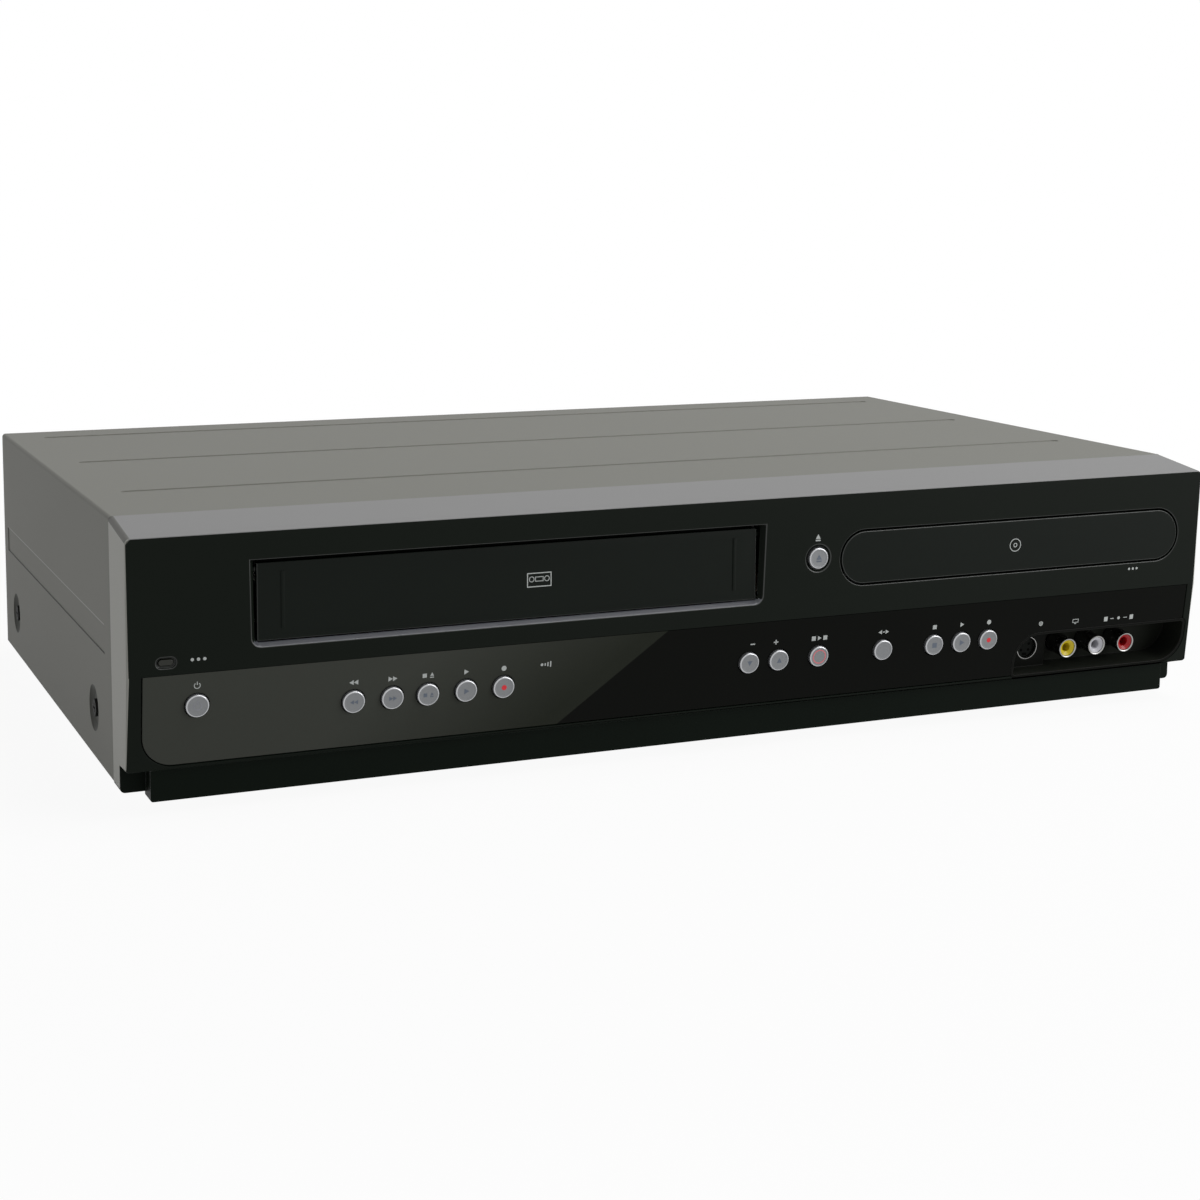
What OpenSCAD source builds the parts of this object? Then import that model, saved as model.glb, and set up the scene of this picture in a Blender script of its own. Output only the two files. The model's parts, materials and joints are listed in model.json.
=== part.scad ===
// Disc and tape recorder combination, a low wide deck that stands on a shelf.
// Millimetres. X runs along the front with +X to the right of someone facing it,
// Y runs from the front to the rear and Z is up. The origin is on the shelf,
// under the middle of the overall footprint.

/* [Body] */
// Outside width of the cover
body_w = 435; // [432:1:460]
// Overall depth from the face's top edge to the ends of the rear sockets
total_d = 268; // [266:1:300]
// Height of the cover's top over the shelf
total_h = 99.5; // [99:0.5:112]
// How far the rear sockets stand out behind the cover
socket_reach = 8; // [6:0.5:10]
// Thickness of the cover's sheet steel
cover_t = 0.8; // [0.6:0.1:1]
// Outside radius of the cover's long bends
bend_r = 1.4; // [1.2:0.1:3]
// Height of the cover's lower edges over the shelf
cover_lift = 8.2; // [7.8:0.1:9]
// Thickness of the chassis sheet
chassis_t = 1; // [0.8:0.1:1.2]
// Height of the chassis side flanges
flange_h = 34; // [30:1:36]

/* [Cover pressings] */
// Length of the grooves across the top
groove_len = 406; // [380:1:412]
// Width of a top groove
groove_w = 4; // [3:0.5:6]
// Depth of a pressed groove or band
press_depth = 0.4; // [0.3:0.1:0.6]
// Distance of the first top groove behind the face
groove_first = 78; // [70:1:84]
// Distance from one top groove to the next
groove_step = 81; // [74:1:82]
// Width of the pressed band along each side
band_h = 10; // [8:1:12]
// Height of that band's middle over the shelf
band_z = 54.9; // [52:0.1:60]
// Distance of the band's front end behind the face
band_front = 38; // [36:1:44]
// Length of the band
band_len = 213; // [190:1:214]
// Diameter of the dished seats of the side screws
dimple_d = 18; // [15:1:19]
// Depth of those seats
dimple_depth = 1.5; // [1.2:0.1:1.8]
// Height of the side screws over the shelf
side_screw_z = 25.8; // [24:0.1:28]
// Distance of the front side screws behind the face
side_screw_first = 60; // [56:1:70]
// Distance from the front to the rear side screw
side_screw_step = 172; // [150:1:176]

/* [Front profile] */
// Depth of the sloping top border of the front
border_d = 26.5; // [24:0.5:30]
// Fall of that border towards the face
border_drop = 3.45; // [2:0.05:5]
// Height of the line where the face bends back
kink_z = 49.4; // [48.9:0.1:49.9]
// Set-back of the face at that line
upper_lean = 1.4; // [1:0.1:2]
// Further set-back at the foot of the face
lower_lean = 4.35; // [3.5:0.05:5]
// Height of the foot of the face
face_low_z = 16.3; // [15.9:0.1:16.6]
// Set-back of the skirt under the face
skirt_set = 9.5; // [9:0.1:11]
// Height of the skirt's lower edge over the shelf
skirt_lift = 4.3; // [3.5:0.1:5]
// Width of the skirt
skirt_w = 417.4; // [405:0.1:418]
// Set-back of the corner stubs beside the skirt
stub_set = 16; // [15:0.5:17]
// Height of the corner stubs' lower edge
stub_lift = 6.6; // [6:0.1:7]
// Wall of the moulded front
wall = 2.5; // [2.2:0.1:2.8]
// Wall behind the control panel
back_wall = 1.5; // [1.2:0.1:2]

/* [Cassette slot] */
// Middle of the slot, measured from the middle of the set
slot_x = -78.8; // [-80:0.1:-78]
// Width of the slot opening
slot_w = 190.6; // [190:0.2:192]
// Height of the slot's upper edge
slot_top = 86.2; // [85.8:0.1:87]
// Height of the slot's lower edge where it meets the door
slot_low = 57.6; // [57:0.1:58]
// Width of the bevelled lip round the slot
slot_lip = 1.4; // [1:0.1:1.8]
// Corner radius at the foot of the slot
slot_r = 2; // [1:0.5:3]
// Gap at each end of the door
door_side_gap = 0.9; // [0.5:0.1:1.2]
// Gap between the door and the slot's upper edge
door_top_gap = 1.8; // [1.5:0.1:2.2]
// Thickness of the door
door_t = 2; // [1.6:0.1:2.4]
// Set-back of the door behind the face
door_set = 3; // [2.8:0.1:3.6]
// Diameter of the door's hinge pins
door_pin_d = 2.4; // [2:0.1:2.6]

/* [Disc door] */
// Middle of the disc tray and its door
disc_x = 128.8; // [126:0.1:130]
// Width of the disc door
disc_w = 155.6; // [154:0.1:156]
// Height of the disc door
disc_h = 20; // [19.6:0.1:20.4]
// Height of the disc door's middle
disc_z = 71; // [70.7:0.1:71.3]
// Gap all round the disc door
disc_gap = 0.8; // [0.6:0.1:1]

/* [Control panel] */
// Width of the smoked panel
panel_w = 425.8; // [422:0.1:427]
// Sideways place of the panel's middle
panel_x = 0.7; // [0:0.1:1]
// Thickness of the panel
panel_t = 2; // [1.6:0.1:2.2]
// Height of the panel's lower edge
panel_low_z = 17.7; // [17.4:0.1:18]
// Radius of the panel's lower corners
panel_r = 10.5; // [8:0.5:12]
// Diameter of the push buttons
button_d = 8; // [7:0.1:8.4]
// Travel of a push button
button_travel = 0.8; // [0.5:0.1:1]
// How far the buttons stand proud of the face
button_proud = 1.2; // [1:0.1:1.6]
// Height of the row of buttons
row_z = 34; // [33.5:0.1:34.5]
// Height of the standby button
standby_z = 38; // [37:0.1:38.5]
// Middle of the standby button
standby_x = -194; // [-196:0.1:-190]
// Depth of the key boards behind the face
board_depth = 14; // [13:0.5:15]
// Thickness of the circuit boards
board_t = 1.6; // [1.2:0.1:1.8]

/* [Front sockets] */
// Left edge of the socket recess
recess_x = 133; // [132:0.5:134]
// Width of the socket recess
recess_w = 81.2; // [80:0.1:81.4]
// Height of the recess's upper edge
recess_top_z = 33.6; // [33.3:0.1:34]
// Large corner radius of the recess
recess_r = 11; // [9:0.5:12]
// Depth of the recess
recess_depth = 12; // [10:0.5:13]
// Spacing of the round sockets
rca_step = 14.1; // [13.5:0.1:14.5]
// Outside diameter of a round socket
rca_d = 8.3; // [8:0.1:8.5]
// Bore of a round socket's centre contact
rca_bore = 3.2; // [3:0.1:3.4]

/* [Tape deck] */
// Height of the deck plate's upper face
deck_z = 34; // [33.6:0.1:34.4]
// Spacing of the two reels
reel_step = 92; // [90:0.5:94]
// Diameter of a reel table
reel_d = 34; // [30:1:36]
// Diameter of the head drum
drum_d = 62; // [60:0.5:62]
// Tilt of the head drum
drum_tilt = 5.5; // [0:0.5:6]
// Travel of the cassette carriage towards the rear
carriage_travel = 60; // [40:1:60]
// Drop of the cassette holder
holder_drop = 21.5; // [18:0.5:21.5]
// Travel of the tape guides
guide_travel = 38; // [20:1:40]

/* [Disc drive] */
// Width of the disc tray
tray_w = 129; // [126:1:130]
// Length of the disc tray
tray_len = 190; // [186:1:194]
// Thickness of the disc tray
tray_t = 8; // [7:0.5:8.5]
// Travel of the disc tray
tray_travel = 138; // [120:1:140]
// Diameter of a disc
disc_d = 120; // [120:0.5:121]
// Travel of the laser sled
sled_travel = 34; // [20:1:35]

/* [Rear] */
// Size of the square fan
fan_size = 40; // [38:1:42]
// Middle of the fan
fan_x = 70; // [66:1:76]
// Diameter of a foot
foot_d = 26; // [20:1:30]
// Sideways distance of the feet from the middle
foot_x = 176; // [160:1:185]
// Distance of the front feet behind the face
foot_front = 52; // [46:1:60]
// Distance of the rear feet behind the face
foot_rear = 226; // [210:1:232]

/* [Hidden] */

$fn = 64;
cut = 1;                 // how far a cutter runs past the face it opens
run_fit = 0.05;          // radial clearance of a shaft in its bore
clear = 0.3;             // clearance between pieces that pass each other
half_w = body_w / 2;
front_y = -total_d / 2;
cover_rear = total_d - socket_reach;      // measured behind the face, as all depths are
face_top_z = total_h - border_drop;
upper_tilt = atan(upper_lean / (face_top_z - kink_z));
lower_tilt = atan(lower_lean / (kink_z - face_low_z));
rear_t = 0.8;
floor_z = cover_lift + 0.4;               // underside of the chassis
deck_floor = floor_z + chassis_t;         // upper face of the chassis floor
flange_x = half_w - dimple_depth - cover_t;
lower_wall = panel_t + back_wall;
tub_wall = 1.2;
door_top = slot_top - door_top_gap;
door_w = slot_w - 2 * door_side_gap;
row_x = [-139.7, -125.7, -112.7, -98.6, -84.5, 13.4, 25.9, 43, 71.1, 94, 106.5, 118.9];
open_x = 40.8;
open_z = 72;
led_x = -204.4;
led_z = 53.6;
sensor_x = -72;

// How far the face lies behind its own top edge at a height
function face_set(z) = z >= kink_z
  ? upper_lean * (face_top_z - z) / (face_top_z - kink_z)
  : upper_lean + lower_lean * (kink_z - z) / (kink_z - face_low_z);

// Children sit in the face: local -Y leaves the set and local Z runs up the face
module on_face(x, z) {
  translate([x, front_y + face_set(z), z])
    rotate([z >= kink_z ? upper_tilt : lower_tilt, 0, 0])
      children();
}

// Children are an outline in X and Z, made solid between two depths
module slab(from, to) {
  translate([0, to, 0])
    rotate([90, 0, 0])
      linear_extrude(to - from)
        children();
}

// Round bar along Y between two depths
module bar_y(d, from, to) {
  translate([0, from, 0])
    rotate([-90, 0, 0])
      cylinder(d = d, h = to - from);
}

// Children are an outline in Y and Z, made solid along X
module along_x(x0, x1) {
  translate([x0, 0, 0])
    rotate([90, 0, 90])
      linear_extrude(x1 - x0)
        children();
}

module lower_button_places() {
  for (x = row_x)
    on_face(x, row_z)
      children();
  on_face(standby_x, standby_z)
    children();
}

// Block between two corners
module block(a, b) {
  translate(a)
    cube(b - a);
}

// Block given by depths behind the face rather than by Y
module deep_block(a, b) {
  block([a[0], front_y + a[1], a[2]], [b[0], front_y + b[1], b[2]]);
}

// Two blocks, one each side of x, their middles off from it, between depths and heights
module twin_blocks(x, off, half, depths, heights) {
  for (side = [-1, 1])
    deep_block([x + side * off - half, depths[0], heights[0]],
      [x + side * off + half, depths[1], heights[1]]);
}

// Outline with a level axis and round ends
module stadium(w, h) {
  square([w - h, h], center = true);
  for (side = [-1, 1])
    translate([side * (w - h) / 2, 0])
      circle(d = h);
}

// Rectangle from a corner, with four radii: low left, low right, top right, top left
module corner_rect(x, z, w, h, radii) {
  corners = [[0, 0], [1, 0], [1, 1], [0, 1]];
  intersection() {
    translate([x, z])
      square([w, h]);
    union() {
      difference() {
        translate([x, z])
          square([w, h]);
        for (i = [0:3])
          translate([x + corners[i][0] * (w - radii[i]), z + corners[i][1] * (h - radii[i])])
            square(radii[i]);
      }
      for (i = [0:3])
        translate([
          x + radii[i] + corners[i][0] * (w - 2 * radii[i]),
          z + radii[i] + corners[i][1] * (h - 2 * radii[i])
        ])
          circle(r = radii[i]);
    }
  }
}

// ---- Casing ----

// Outline of the cover seen from the front, its long bends rounded
module cover_outline(inset) {
  r = bend_r - inset;
  w = half_w - inset;
  translate([-w, cover_lift - (inset > 0 ? cut : 0)])
    square([2 * w, total_h - inset - r - cover_lift + (inset > 0 ? cut : 0)]);
  translate([-w + r, total_h - inset - 2 * r])
    square([2 * (w - r), 2 * r]);
  for (side = [-1, 1])
    translate([side * (w - r), total_h - inset - r])
      circle(r = r);
}

module side_screw_places() {
  for (side = [-1, 1], i = [0, 1])
    translate([side * half_w, front_y + side_screw_first + i * side_screw_step, side_screw_z])
      rotate([0, -90 * side, 0])
        children();
}

rear_screw_x = [27.5 - half_w, 0, half_w - 27.5];
rear_flange_h = 9;

module rear_screw_places() {
  for (x = rear_screw_x)
    translate([x, front_y + cover_rear, total_h - 5])
      rotate([90, 0, 0])
        children();
}

groove_margin = 12;
groove_depths = [for (depth = [groove_first:groove_step:cover_rear - groove_margin]) depth];
band_depths = [band_front, band_front + band_len];
band_heights = [band_z - band_h / 2, band_z + band_h / 2];
dimple_taper = 4;

// Pressed U of sheet steel with grooves, bands, dished screw seats and a rear flange
module top_cover() {
  rise = press_depth;
  color("dimgray")
  difference() {
    union() {
      difference() {
        translate([0, front_y])
          slab(border_d, cover_rear)
            cover_outline(0);
        translate([0, front_y])
          slab(border_d - cut, cover_rear + cut)
            cover_outline(cover_t);
      }
      deep_block([-half_w + bend_r, cover_rear - cover_t, total_h - rear_flange_h],
        [half_w - bend_r, cover_rear, total_h - cover_t / 2]);
      for (depth = groove_depths)
        translate([0, front_y + depth, total_h - cover_t - rise])
          linear_extrude(rise + cover_t / 2)
            stadium(groove_len, groove_w);
      twin_blocks(0, half_w - cover_t - rise / 2, rise / 2, band_depths, band_heights);
      side_screw_places()
        cylinder(d1 = dimple_d, d2 = dimple_d - dimple_taper, h = dimple_depth + cover_t);
    }
    for (depth = groove_depths)
      translate([0, front_y + depth, total_h - rise])
        linear_extrude(rise + cut)
          stadium(groove_len, groove_w);
    twin_blocks(0, half_w, rise, band_depths, band_heights);
    side_screw_places()
      translate([0, 0, -0.01])
        cylinder(d1 = dimple_d - 1, d2 = dimple_d - 1 - dimple_taper, h = dimple_depth + 0.01);
    side_screw_places()
      cylinder(d = screw_d + 0.4, h = dimple_depth + cover_t + cut);
    rear_screw_places()
      translate([0, 0, -cut])
        cylinder(d = screw_d + 0.4, h = cover_t + 2 * cut);
  }
}

screw_d = 3;
screw_head_d = 6.4;
screw_head_h = 1.4;

// Pan head screw, its head's seat at the origin and its shank along +Z
module screw(length) {
  difference() {
    union() {
      translate([0, 0, -screw_head_h])
        cylinder(d = screw_head_d, h = screw_head_h);
      cylinder(d = screw_d, h = length);
    }
    for (turn = [0, 90])
      rotate([0, 0, turn])
        translate([-1.6, -0.3, -screw_head_h - cut])
          cube([3.2, 0.6, cut + 0.8]);
  }
}

screw_length = 6;

module case_screws() {
  color("silver") {
    side_screw_places()
      translate([0, 0, dimple_depth])
        screw(screw_length);
    rear_screw_places()
      screw(screw_length);
    translate([0, front_y + panel_outer, 0])
      fan_screw_places()
        rotate([90, 0, 0])
          screw(screw_length);
  }
}

stand_h = 5.4;           // height of the pressed stand-offs in the chassis
board_z = deck_floor + stand_h;

board_edge = half_w - 12.5;          // left edge of the main board from the middle
board_split = 116;                   // where the main board ends and the supply's begins
supply_gap = 3;
supply_edge = half_w - 7.5;
board_front = 176;
panel_outer = cover_rear - cover_t - 0.1;
panel_inner = panel_outer - rear_t;
board_rear = panel_inner - 4;
stand_rows = [board_front + 8, board_rear - 14];
stand_columns = [-board_edge + 8, -120, -20, board_split - 6, board_split + supply_gap + 5, supply_edge - 6];

foot_places = [[-foot_x, foot_front], [foot_x, foot_front], [-foot_x, foot_rear], [foot_x, foot_rear]];

// Pressed tray that carries everything, with flanges, stand-offs and vents
module chassis_tray() {
  front = stub_set + wall + 1.5;
  rear = panel_inner - 0.1;
  lip_h = 4;
  color("silver")
  difference() {
    union() {
      deep_block([-flange_x, border_d + 0.8, floor_z], [flange_x, rear, deck_floor]);
      deep_block([-half_w + wall + 1.2, front, floor_z],
        [half_w - wall - 1.2, border_d + 1, deck_floor]);
      twin_blocks(0, flange_x - chassis_t / 2, chassis_t / 2, [border_d + 0.8, rear],
        [floor_z, deck_floor + flange_h]);
      deep_block([-half_w + 40, front, floor_z], [half_w - 40, front + chassis_t, deck_floor + lip_h]);
      deep_block([-flange_x, rear - chassis_t, floor_z], [flange_x, rear, deck_floor + lip_h]);
      for (x = stand_columns, y = stand_rows)
        translate([x, front_y + y, deck_floor - 0.2])
          cylinder(d1 = 10, d2 = 7, h = stand_h + 0.2);
    }
    for (x = stand_columns, y = stand_rows)
      translate([x, front_y + y, floor_z - cut])
        cylinder(d = screw_d, h = stand_h + chassis_t + 2 * cut);
    for (p = foot_places)
      translate([p[0], front_y + p[1], floor_z - cut])
        cylinder(d = foot_pin_d + 2 * run_fit, h = chassis_t + 2 * cut);
    side_screw_places()
      cylinder(d = screw_d + 2 * run_fit, h = 8);
    for (start = [-150, 70], row = [0:3], i = [0:7])
      translate([start + i * 12, front_y + 100 + row * 18, floor_z - cut])
        linear_extrude(chassis_t + 2 * cut)
          rotate(90)
            stadium(13, 3);
  }
}

foot_pin_d = 5;
foot_groove = 1.2;

// Moulded foot with a soft ring set in its sole and a pin into the chassis
module foot() {
  difference() {
    union() {
      cylinder(d1 = foot_d - 2, d2 = foot_d, h = 1.5);
      translate([0, 0, 1.5])
        cylinder(d = foot_d, h = floor_z - 1.5);
      cylinder(d = foot_pin_d, h = deck_floor + 0.8);
    }
    translate([0, 0, -cut])
      difference() {
        cylinder(d = foot_d - 7, h = cut + foot_groove);
        translate([0, 0, -cut])
          cylinder(d = foot_d - 12, h = 3 * cut + foot_groove);
      }
  }
}

module feet() {
  color("black")
  for (p = foot_places)
    translate([p[0], front_y + p[1], 0])
      foot();
}

rear_jack_x = -118;
rear_jack_step_x = 15;
rear_jack_z = 36;
rear_jack_step_z = 16;
rear_jack_cols = 5;
antenna_x = 31.5 - half_w;
antenna_z = [30, 56];
hdmi_x = 18;
hdmi_z = 30;
hdmi_w = 15.4;
hdmi_h = 6;
gland_x = half_w - 31.5;
gland_z = 24;
fan_z = 52;

module rear_rca_places() {
  for (col = [0:rear_jack_cols - 1], row = [0:1])
    translate([rear_jack_x + col * rear_jack_step_x, 0, rear_jack_z + row * rear_jack_step_z])
      children();
}

module fan_screw_places() {
  for (sx = [-1, 1], sz = [-1, 1])
    translate([fan_x + sx * (fan_size / 2 - 4), 0, fan_z + sz * (fan_size / 2 - 4)])
      children();
}

// Flat plate with a hole for every socket, the fan's guard and air slots
module rear_panel() {
  outer = panel_outer;
  reach = half_w - cover_t - press_depth - 0.2;
  color("silver")
  difference() {
    deep_block([-reach, panel_inner, floor_z], [reach, outer, total_h - cover_t - press_depth]);
    translate([0, front_y]) {
      rear_rca_places()
        bar_y(rca_d + 1.2, outer - 2, outer + cut);
      for (z = antenna_z)
        translate([antenna_x, 0, z])
          bar_y(antenna_d + 1, outer - 2, outer + cut);
      translate([gland_x, 0, gland_z])
        bar_y(gland_d + 2 * run_fit, outer - 2, outer + cut);
      translate([hdmi_x, 0, hdmi_z])
        slab(outer - 2, outer + cut)
          square([hdmi_w + 1.2, hdmi_h + 1.2], center = true);
      fan_screw_places()
        bar_y(3.4, outer - 2, outer + cut);
      for (ring = [0:2])
        translate([fan_x, 0, fan_z])
          slab(outer - 2, outer + cut)
            difference() {
              circle(d = 14 + ring * 10);
              circle(d = 8 + ring * 10);
              for (turn = [45, 135])
                rotate(turn)
                  square([60, 2.4], center = true);
            }
      for (i = [0:9])
        translate([124 + i * 8, 0, 66])
          slab(outer - 2, outer + cut)
            rotate(90)
              stadium(24, 3);
    }
    rear_screw_places()
      translate([0, 0, -cut])
        cylinder(d = screw_d + 2 * run_fit, h = 8);
  }
}

// ---- Front ----

slot_lip_d = 2.2;        // depth of the bevel round the slot
ledge_d = 8;             // ledge behind the cassette door

// Closed section of the front's wall, in depth and height
function front_section(set, lift) = [
  [border_d, total_h],
  [0, face_top_z],
  [upper_lean, kink_z],
  [upper_lean + lower_lean, face_low_z],
  [set, face_low_z - (set == skirt_set ? 1.2 : 0)],
  [set, lift],
  [set + wall, lift],
  [set + wall, face_low_z + 1],
  [face_set(face_low_z + 1) + lower_wall, face_low_z + 1],
  [upper_lean + lower_wall, kink_z],
  [upper_lean + wall, kink_z + 0.01],
  [face_set(face_top_z - wall) + wall, face_top_z - wall],
  [border_d, total_h - wall]
];

// Outline of the front's side walls
function side_section() = [
  [border_d, total_h],
  [0, face_top_z],
  [upper_lean, kink_z],
  [upper_lean + lower_lean, face_low_z],
  [stub_set, face_low_z],
  [stub_set, stub_lift],
  [border_d, stub_lift]
];

module slot_outline(grow) {
  corner_rect(slot_x - slot_w / 2 - grow, slot_low - grow, slot_w + 2 * grow,
    slot_top - slot_low + grow, [slot_r + grow, slot_r + grow, 0.2, 0.2]);
}

// The bevelled lip runs along the foot and up both ends, round a cone in each corner
module slot_cut() {
  mid = (slot_top + slot_low) / 2;
  near = face_set(mid) - cut;
  translate([0, front_y])
    slab(near, wall + 6)
      slot_outline(0);
  start = face_set(slot_low);
  translate([0, front_y])
    along_x(slot_x - slot_w / 2 + slot_r, slot_x + slot_w / 2 - slot_r)
      polygon([
        [start - cut, slot_low + slot_r],
        [start - cut, slot_low - slot_lip * (1 + cut / slot_lip_d)],
        [start + slot_lip_d, slot_low],
        [start + slot_lip_d, slot_low + slot_r]
      ]);
  for (side = [-1, 1])
    translate([slot_x + side * (slot_w / 2 - slot_r), front_y + start - cut, slot_low + slot_r])
      rotate([-90, 0, 0])
        cylinder(r1 = slot_r + slot_lip * (1 + cut / slot_lip_d), r2 = slot_r, h = slot_lip_d + cut);
  for (side = [-1, 1])
    translate([slot_x + side * slot_w / 2, front_y, slot_low + slot_r])
      linear_extrude(slot_top - slot_low - slot_r)
        polygon([
          [-side, start - cut],
          [side * slot_lip * (1 + cut / slot_lip_d), start - cut],
          [0, start + slot_lip_d],
          [-side, start + slot_lip_d]
        ]);
}

recess_low_z = panel_low_z;
recess_h = recess_top_z - recess_low_z;

// Leaf shaped recess: large radii at its top left and low right corners.
// Heights here are measured along the lower face from the line where it bends.
function down(z) = (z - kink_z) / cos(lower_tilt);

module recess_outline(grow) {
  corner_rect(recess_x - grow, down(recess_low_z) - grow, recess_w + 2 * grow,
    down(recess_top_z) - down(recess_low_z) + 2 * grow,
    [1 + grow, recess_r + grow, 1 + grow, recess_r + grow]);
}

module panel_outline(grow) {
  corner_rect(panel_x - panel_w / 2 - grow, down(panel_low_z) - grow, panel_w + 2 * grow,
    -down(panel_low_z) + grow, [panel_r + grow, recess_r + grow, 0.01, 0.01]);
}

// Depth behind the bend line's own face, for outlines drawn on the lower face
module on_lower() {
  translate([0, front_y + upper_lean, kink_z])
    rotate([lower_tilt, 0, 0])
      children();
}

hole_gap = 0.35;         // gap round each button
flange_gap = 0.3;        // gap behind the wall before a button's flange
flange_t = 1;
boss_d = 5;

function boss_places() = [[-204, 27], [-160, 41], [-66, 24], [5, 41], [58, 24], [126, 42]];

display_x = -30;
display_w = 50;
display_z = 32;
display_h = 14;

module front_bezel() {
  color("dimgray")
  difference() {
    union() {
      translate([0, front_y]) {
        along_x(-skirt_w / 2, skirt_w / 2)
          polygon(front_section(skirt_set, skirt_lift));
        for (side = [-1, 1]) {
          along_x(min(side * skirt_w / 2, side * half_w), max(side * skirt_w / 2, side * half_w))
            polygon(front_section(stub_set, stub_lift));
          along_x(side * (half_w - wall / 2) - wall / 2, side * (half_w - wall / 2) + wall / 2)
            polygon(side_section());
          along_x(side * (skirt_w / 2 - wall / 2) - wall / 2,
            side * (skirt_w / 2 - wall / 2) + wall / 2)
            polygon([
              [skirt_set, skirt_lift], [border_d - 8, skirt_lift],
              [border_d - 8, face_low_z + 1], [skirt_set, face_low_z + 1]
            ]);
        }
      }
      // lips that run under the cover's front edge
      deep_block([-half_w + wall, border_d - 4, total_h - cover_t - 2],
        [half_w - wall, border_d + lip_reach, total_h - cover_t - 0.2]);
      twin_blocks(0, half_w - cover_t - 1.2, 1, [border_d - 4, border_d + lip_reach],
        [deck_floor + flange_h + 2, total_h - cover_t - 3]);
      // clips under the chassis
      for (x = [-150, 0, 150])
        deep_block([x - 9, skirt_set + 1, floor_z - 2], [x + 9, border_d + 8, floor_z]);
      // bosses of the key boards
      for (p = boss_places())
        on_face(p[0], p[1])
          bar_y(boss_d, back_wall, board_depth);
      for (side = [-1, 1])
        on_face(open_x, open_z + side * 9)
          bar_y(boss_d - 1.5, wall / 2, board_depth);
      // ledge behind the top of the cassette door, which shuts off the light
      deep_block([slot_x - slot_w / 2 - 1, wall - 0.1, slot_top + 0.8],
        [slot_x + slot_w / 2 + 1, ledge_d + 1.2, slot_top + 2.2]);
      deep_block([slot_x - slot_w / 2 - 1, ledge_d, slot_top - 3.4],
        [slot_x + slot_w / 2 + 1, ledge_d + 1.2, slot_top + 2.2]);
      // bearings of the cassette door's pins
      twin_blocks(slot_x, door_w / 2 + bearing_off, 1.6, [wall, door_hinge_d + 3],
        [door_hinge_z - 3.4, door_hinge_z + 3.4]);
    }
    slot_cut();
    translate([disc_x, front_y, disc_z])
      slab(-cut, wall + 3)
        stadium(disc_w + 2 * disc_gap, disc_h + 2 * disc_gap);
    on_face(open_x, open_z) {
      bar_y(button_d + 2 * hole_gap, -cut, wall + 1);
      translate([0, -0.01, 0])
        rotate([-90, 0, 0])
          cylinder(d1 = button_d + 2.6, d2 = button_d + 1.2, h = 1);
    }
    on_face(led_x, led_z) {
      slab(-cut, wall + cut)
        stadium(led_w + 0.2, led_h + 0.2);
      slab(-cut, 0.9)
        stadium(led_w + 1.8, led_h + 1.7);
    }
    on_lower() {
      slab(-2 * cut, panel_t)
        panel_outline(0.35);
      slab(-2 * cut, recess_depth + tub_floor + cut)
        recess_outline(tub_wall + 0.15);
    }
    lower_button_places()
      bar_y(button_d + 2 * hole_gap, 0, lower_wall + 2);
    on_face(display_x, display_z)
      slab(0, lower_wall + 2)
        square([display_w + 1, display_h + 1], center = true);
    on_face(sensor_x, row_z + 4)
      bar_y(5, 0, lower_wall + 2);
    door_pins(bearing_off, door_pin_d + 2 * run_fit, 8);
  }
}

lip_reach = 5;
bearing_off = 3.2;       // middle of the door's bearings outside its end

// Round pieces on the door's hinge line, beyond both of its ends
module door_pins(off, d, length) {
  for (side = [-1, 1])
    translate([slot_x + side * (door_w / 2 + off), front_y + door_hinge_d, door_hinge_z])
      rotate([0, 90, 0])
        cylinder(d = d, h = length, center = true);
}

// Smoked panel let into the lower face, flush with it
module control_panel() {
  color([0.1, 0.1, 0.1])
  difference() {
    on_lower()
      slab(0, panel_t)
        difference() {
          panel_outline(0);
          recess_outline(tub_wall + 0.15);
        }
    lower_button_places()
      bar_y(button_d + 2 * hole_gap, -cut, lower_wall);
  }
}

led_w = 5;
led_h = 2.1;

// Light guide of the power lamp
module led_lens() {
  color("darkred")
  on_face(led_x, led_z) {
    slab(0.4, wall)
      stadium(led_w, led_h);
    slab(wall, wall + 1)
      stadium(led_w + 2, led_h + 2);
  }
}

tub_floor = 1.5;
svideo_x = recess_x + 10.6;
svideo_d = 9.5;
svideo_rise = 4.5;       // the block that carries the small socket
rca_first = recess_x + 27.2;
rca_proud = 9.3;
mid_recess_z = (recess_top_z + recess_low_z) / 2;

module front_rca_places() {
  for (i = [0:2])
    translate([rca_first + i * rca_step, 0, down(mid_recess_z)])
      children();
}

// Tub behind the socket recess, with a raised block for the small round socket
module jack_tub() {
  color([0.08, 0.08, 0.08])
  on_lower()
    difference() {
      union() {
        slab(0.1, recess_depth + tub_floor)
          recess_outline(tub_wall);
      }
      difference() {
        slab(-cut, recess_depth)
          recess_outline(0);
        slab(recess_depth - svideo_rise, recess_depth + cut)
          translate([recess_x - 2, down(recess_low_z) - 2])
            square([21.4, recess_h + 6]);
      }
      front_rca_places()
        bar_y(rca_d + 0.4, recess_depth - cut, recess_depth + 4);
      translate([svideo_x, 0, down(mid_recess_z)])
        bar_y(svideo_d + 0.3, 0, recess_depth + 4);
    }
}

jack_body = 10;
jack_body_d = 9.5;

// Round socket with a centre bore, its mouth towards -Y at the depth given
module rca_socket(mouth, seat) {
  difference() {
    union() {
      bar_y(rca_d, mouth, seat);
      slab(seat, seat + jack_body_d)
        square([jack_body, jack_body], center = true);
    }
    bar_y(rca_bore, mouth - cut, mouth + 8);
    difference() {
      bar_y(rca_d - 0.8, mouth - cut, mouth + 0.6);
      bar_y(rca_d - 2.2, mouth - 2 * cut, mouth + 0.7);
    }
  }
}

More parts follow.
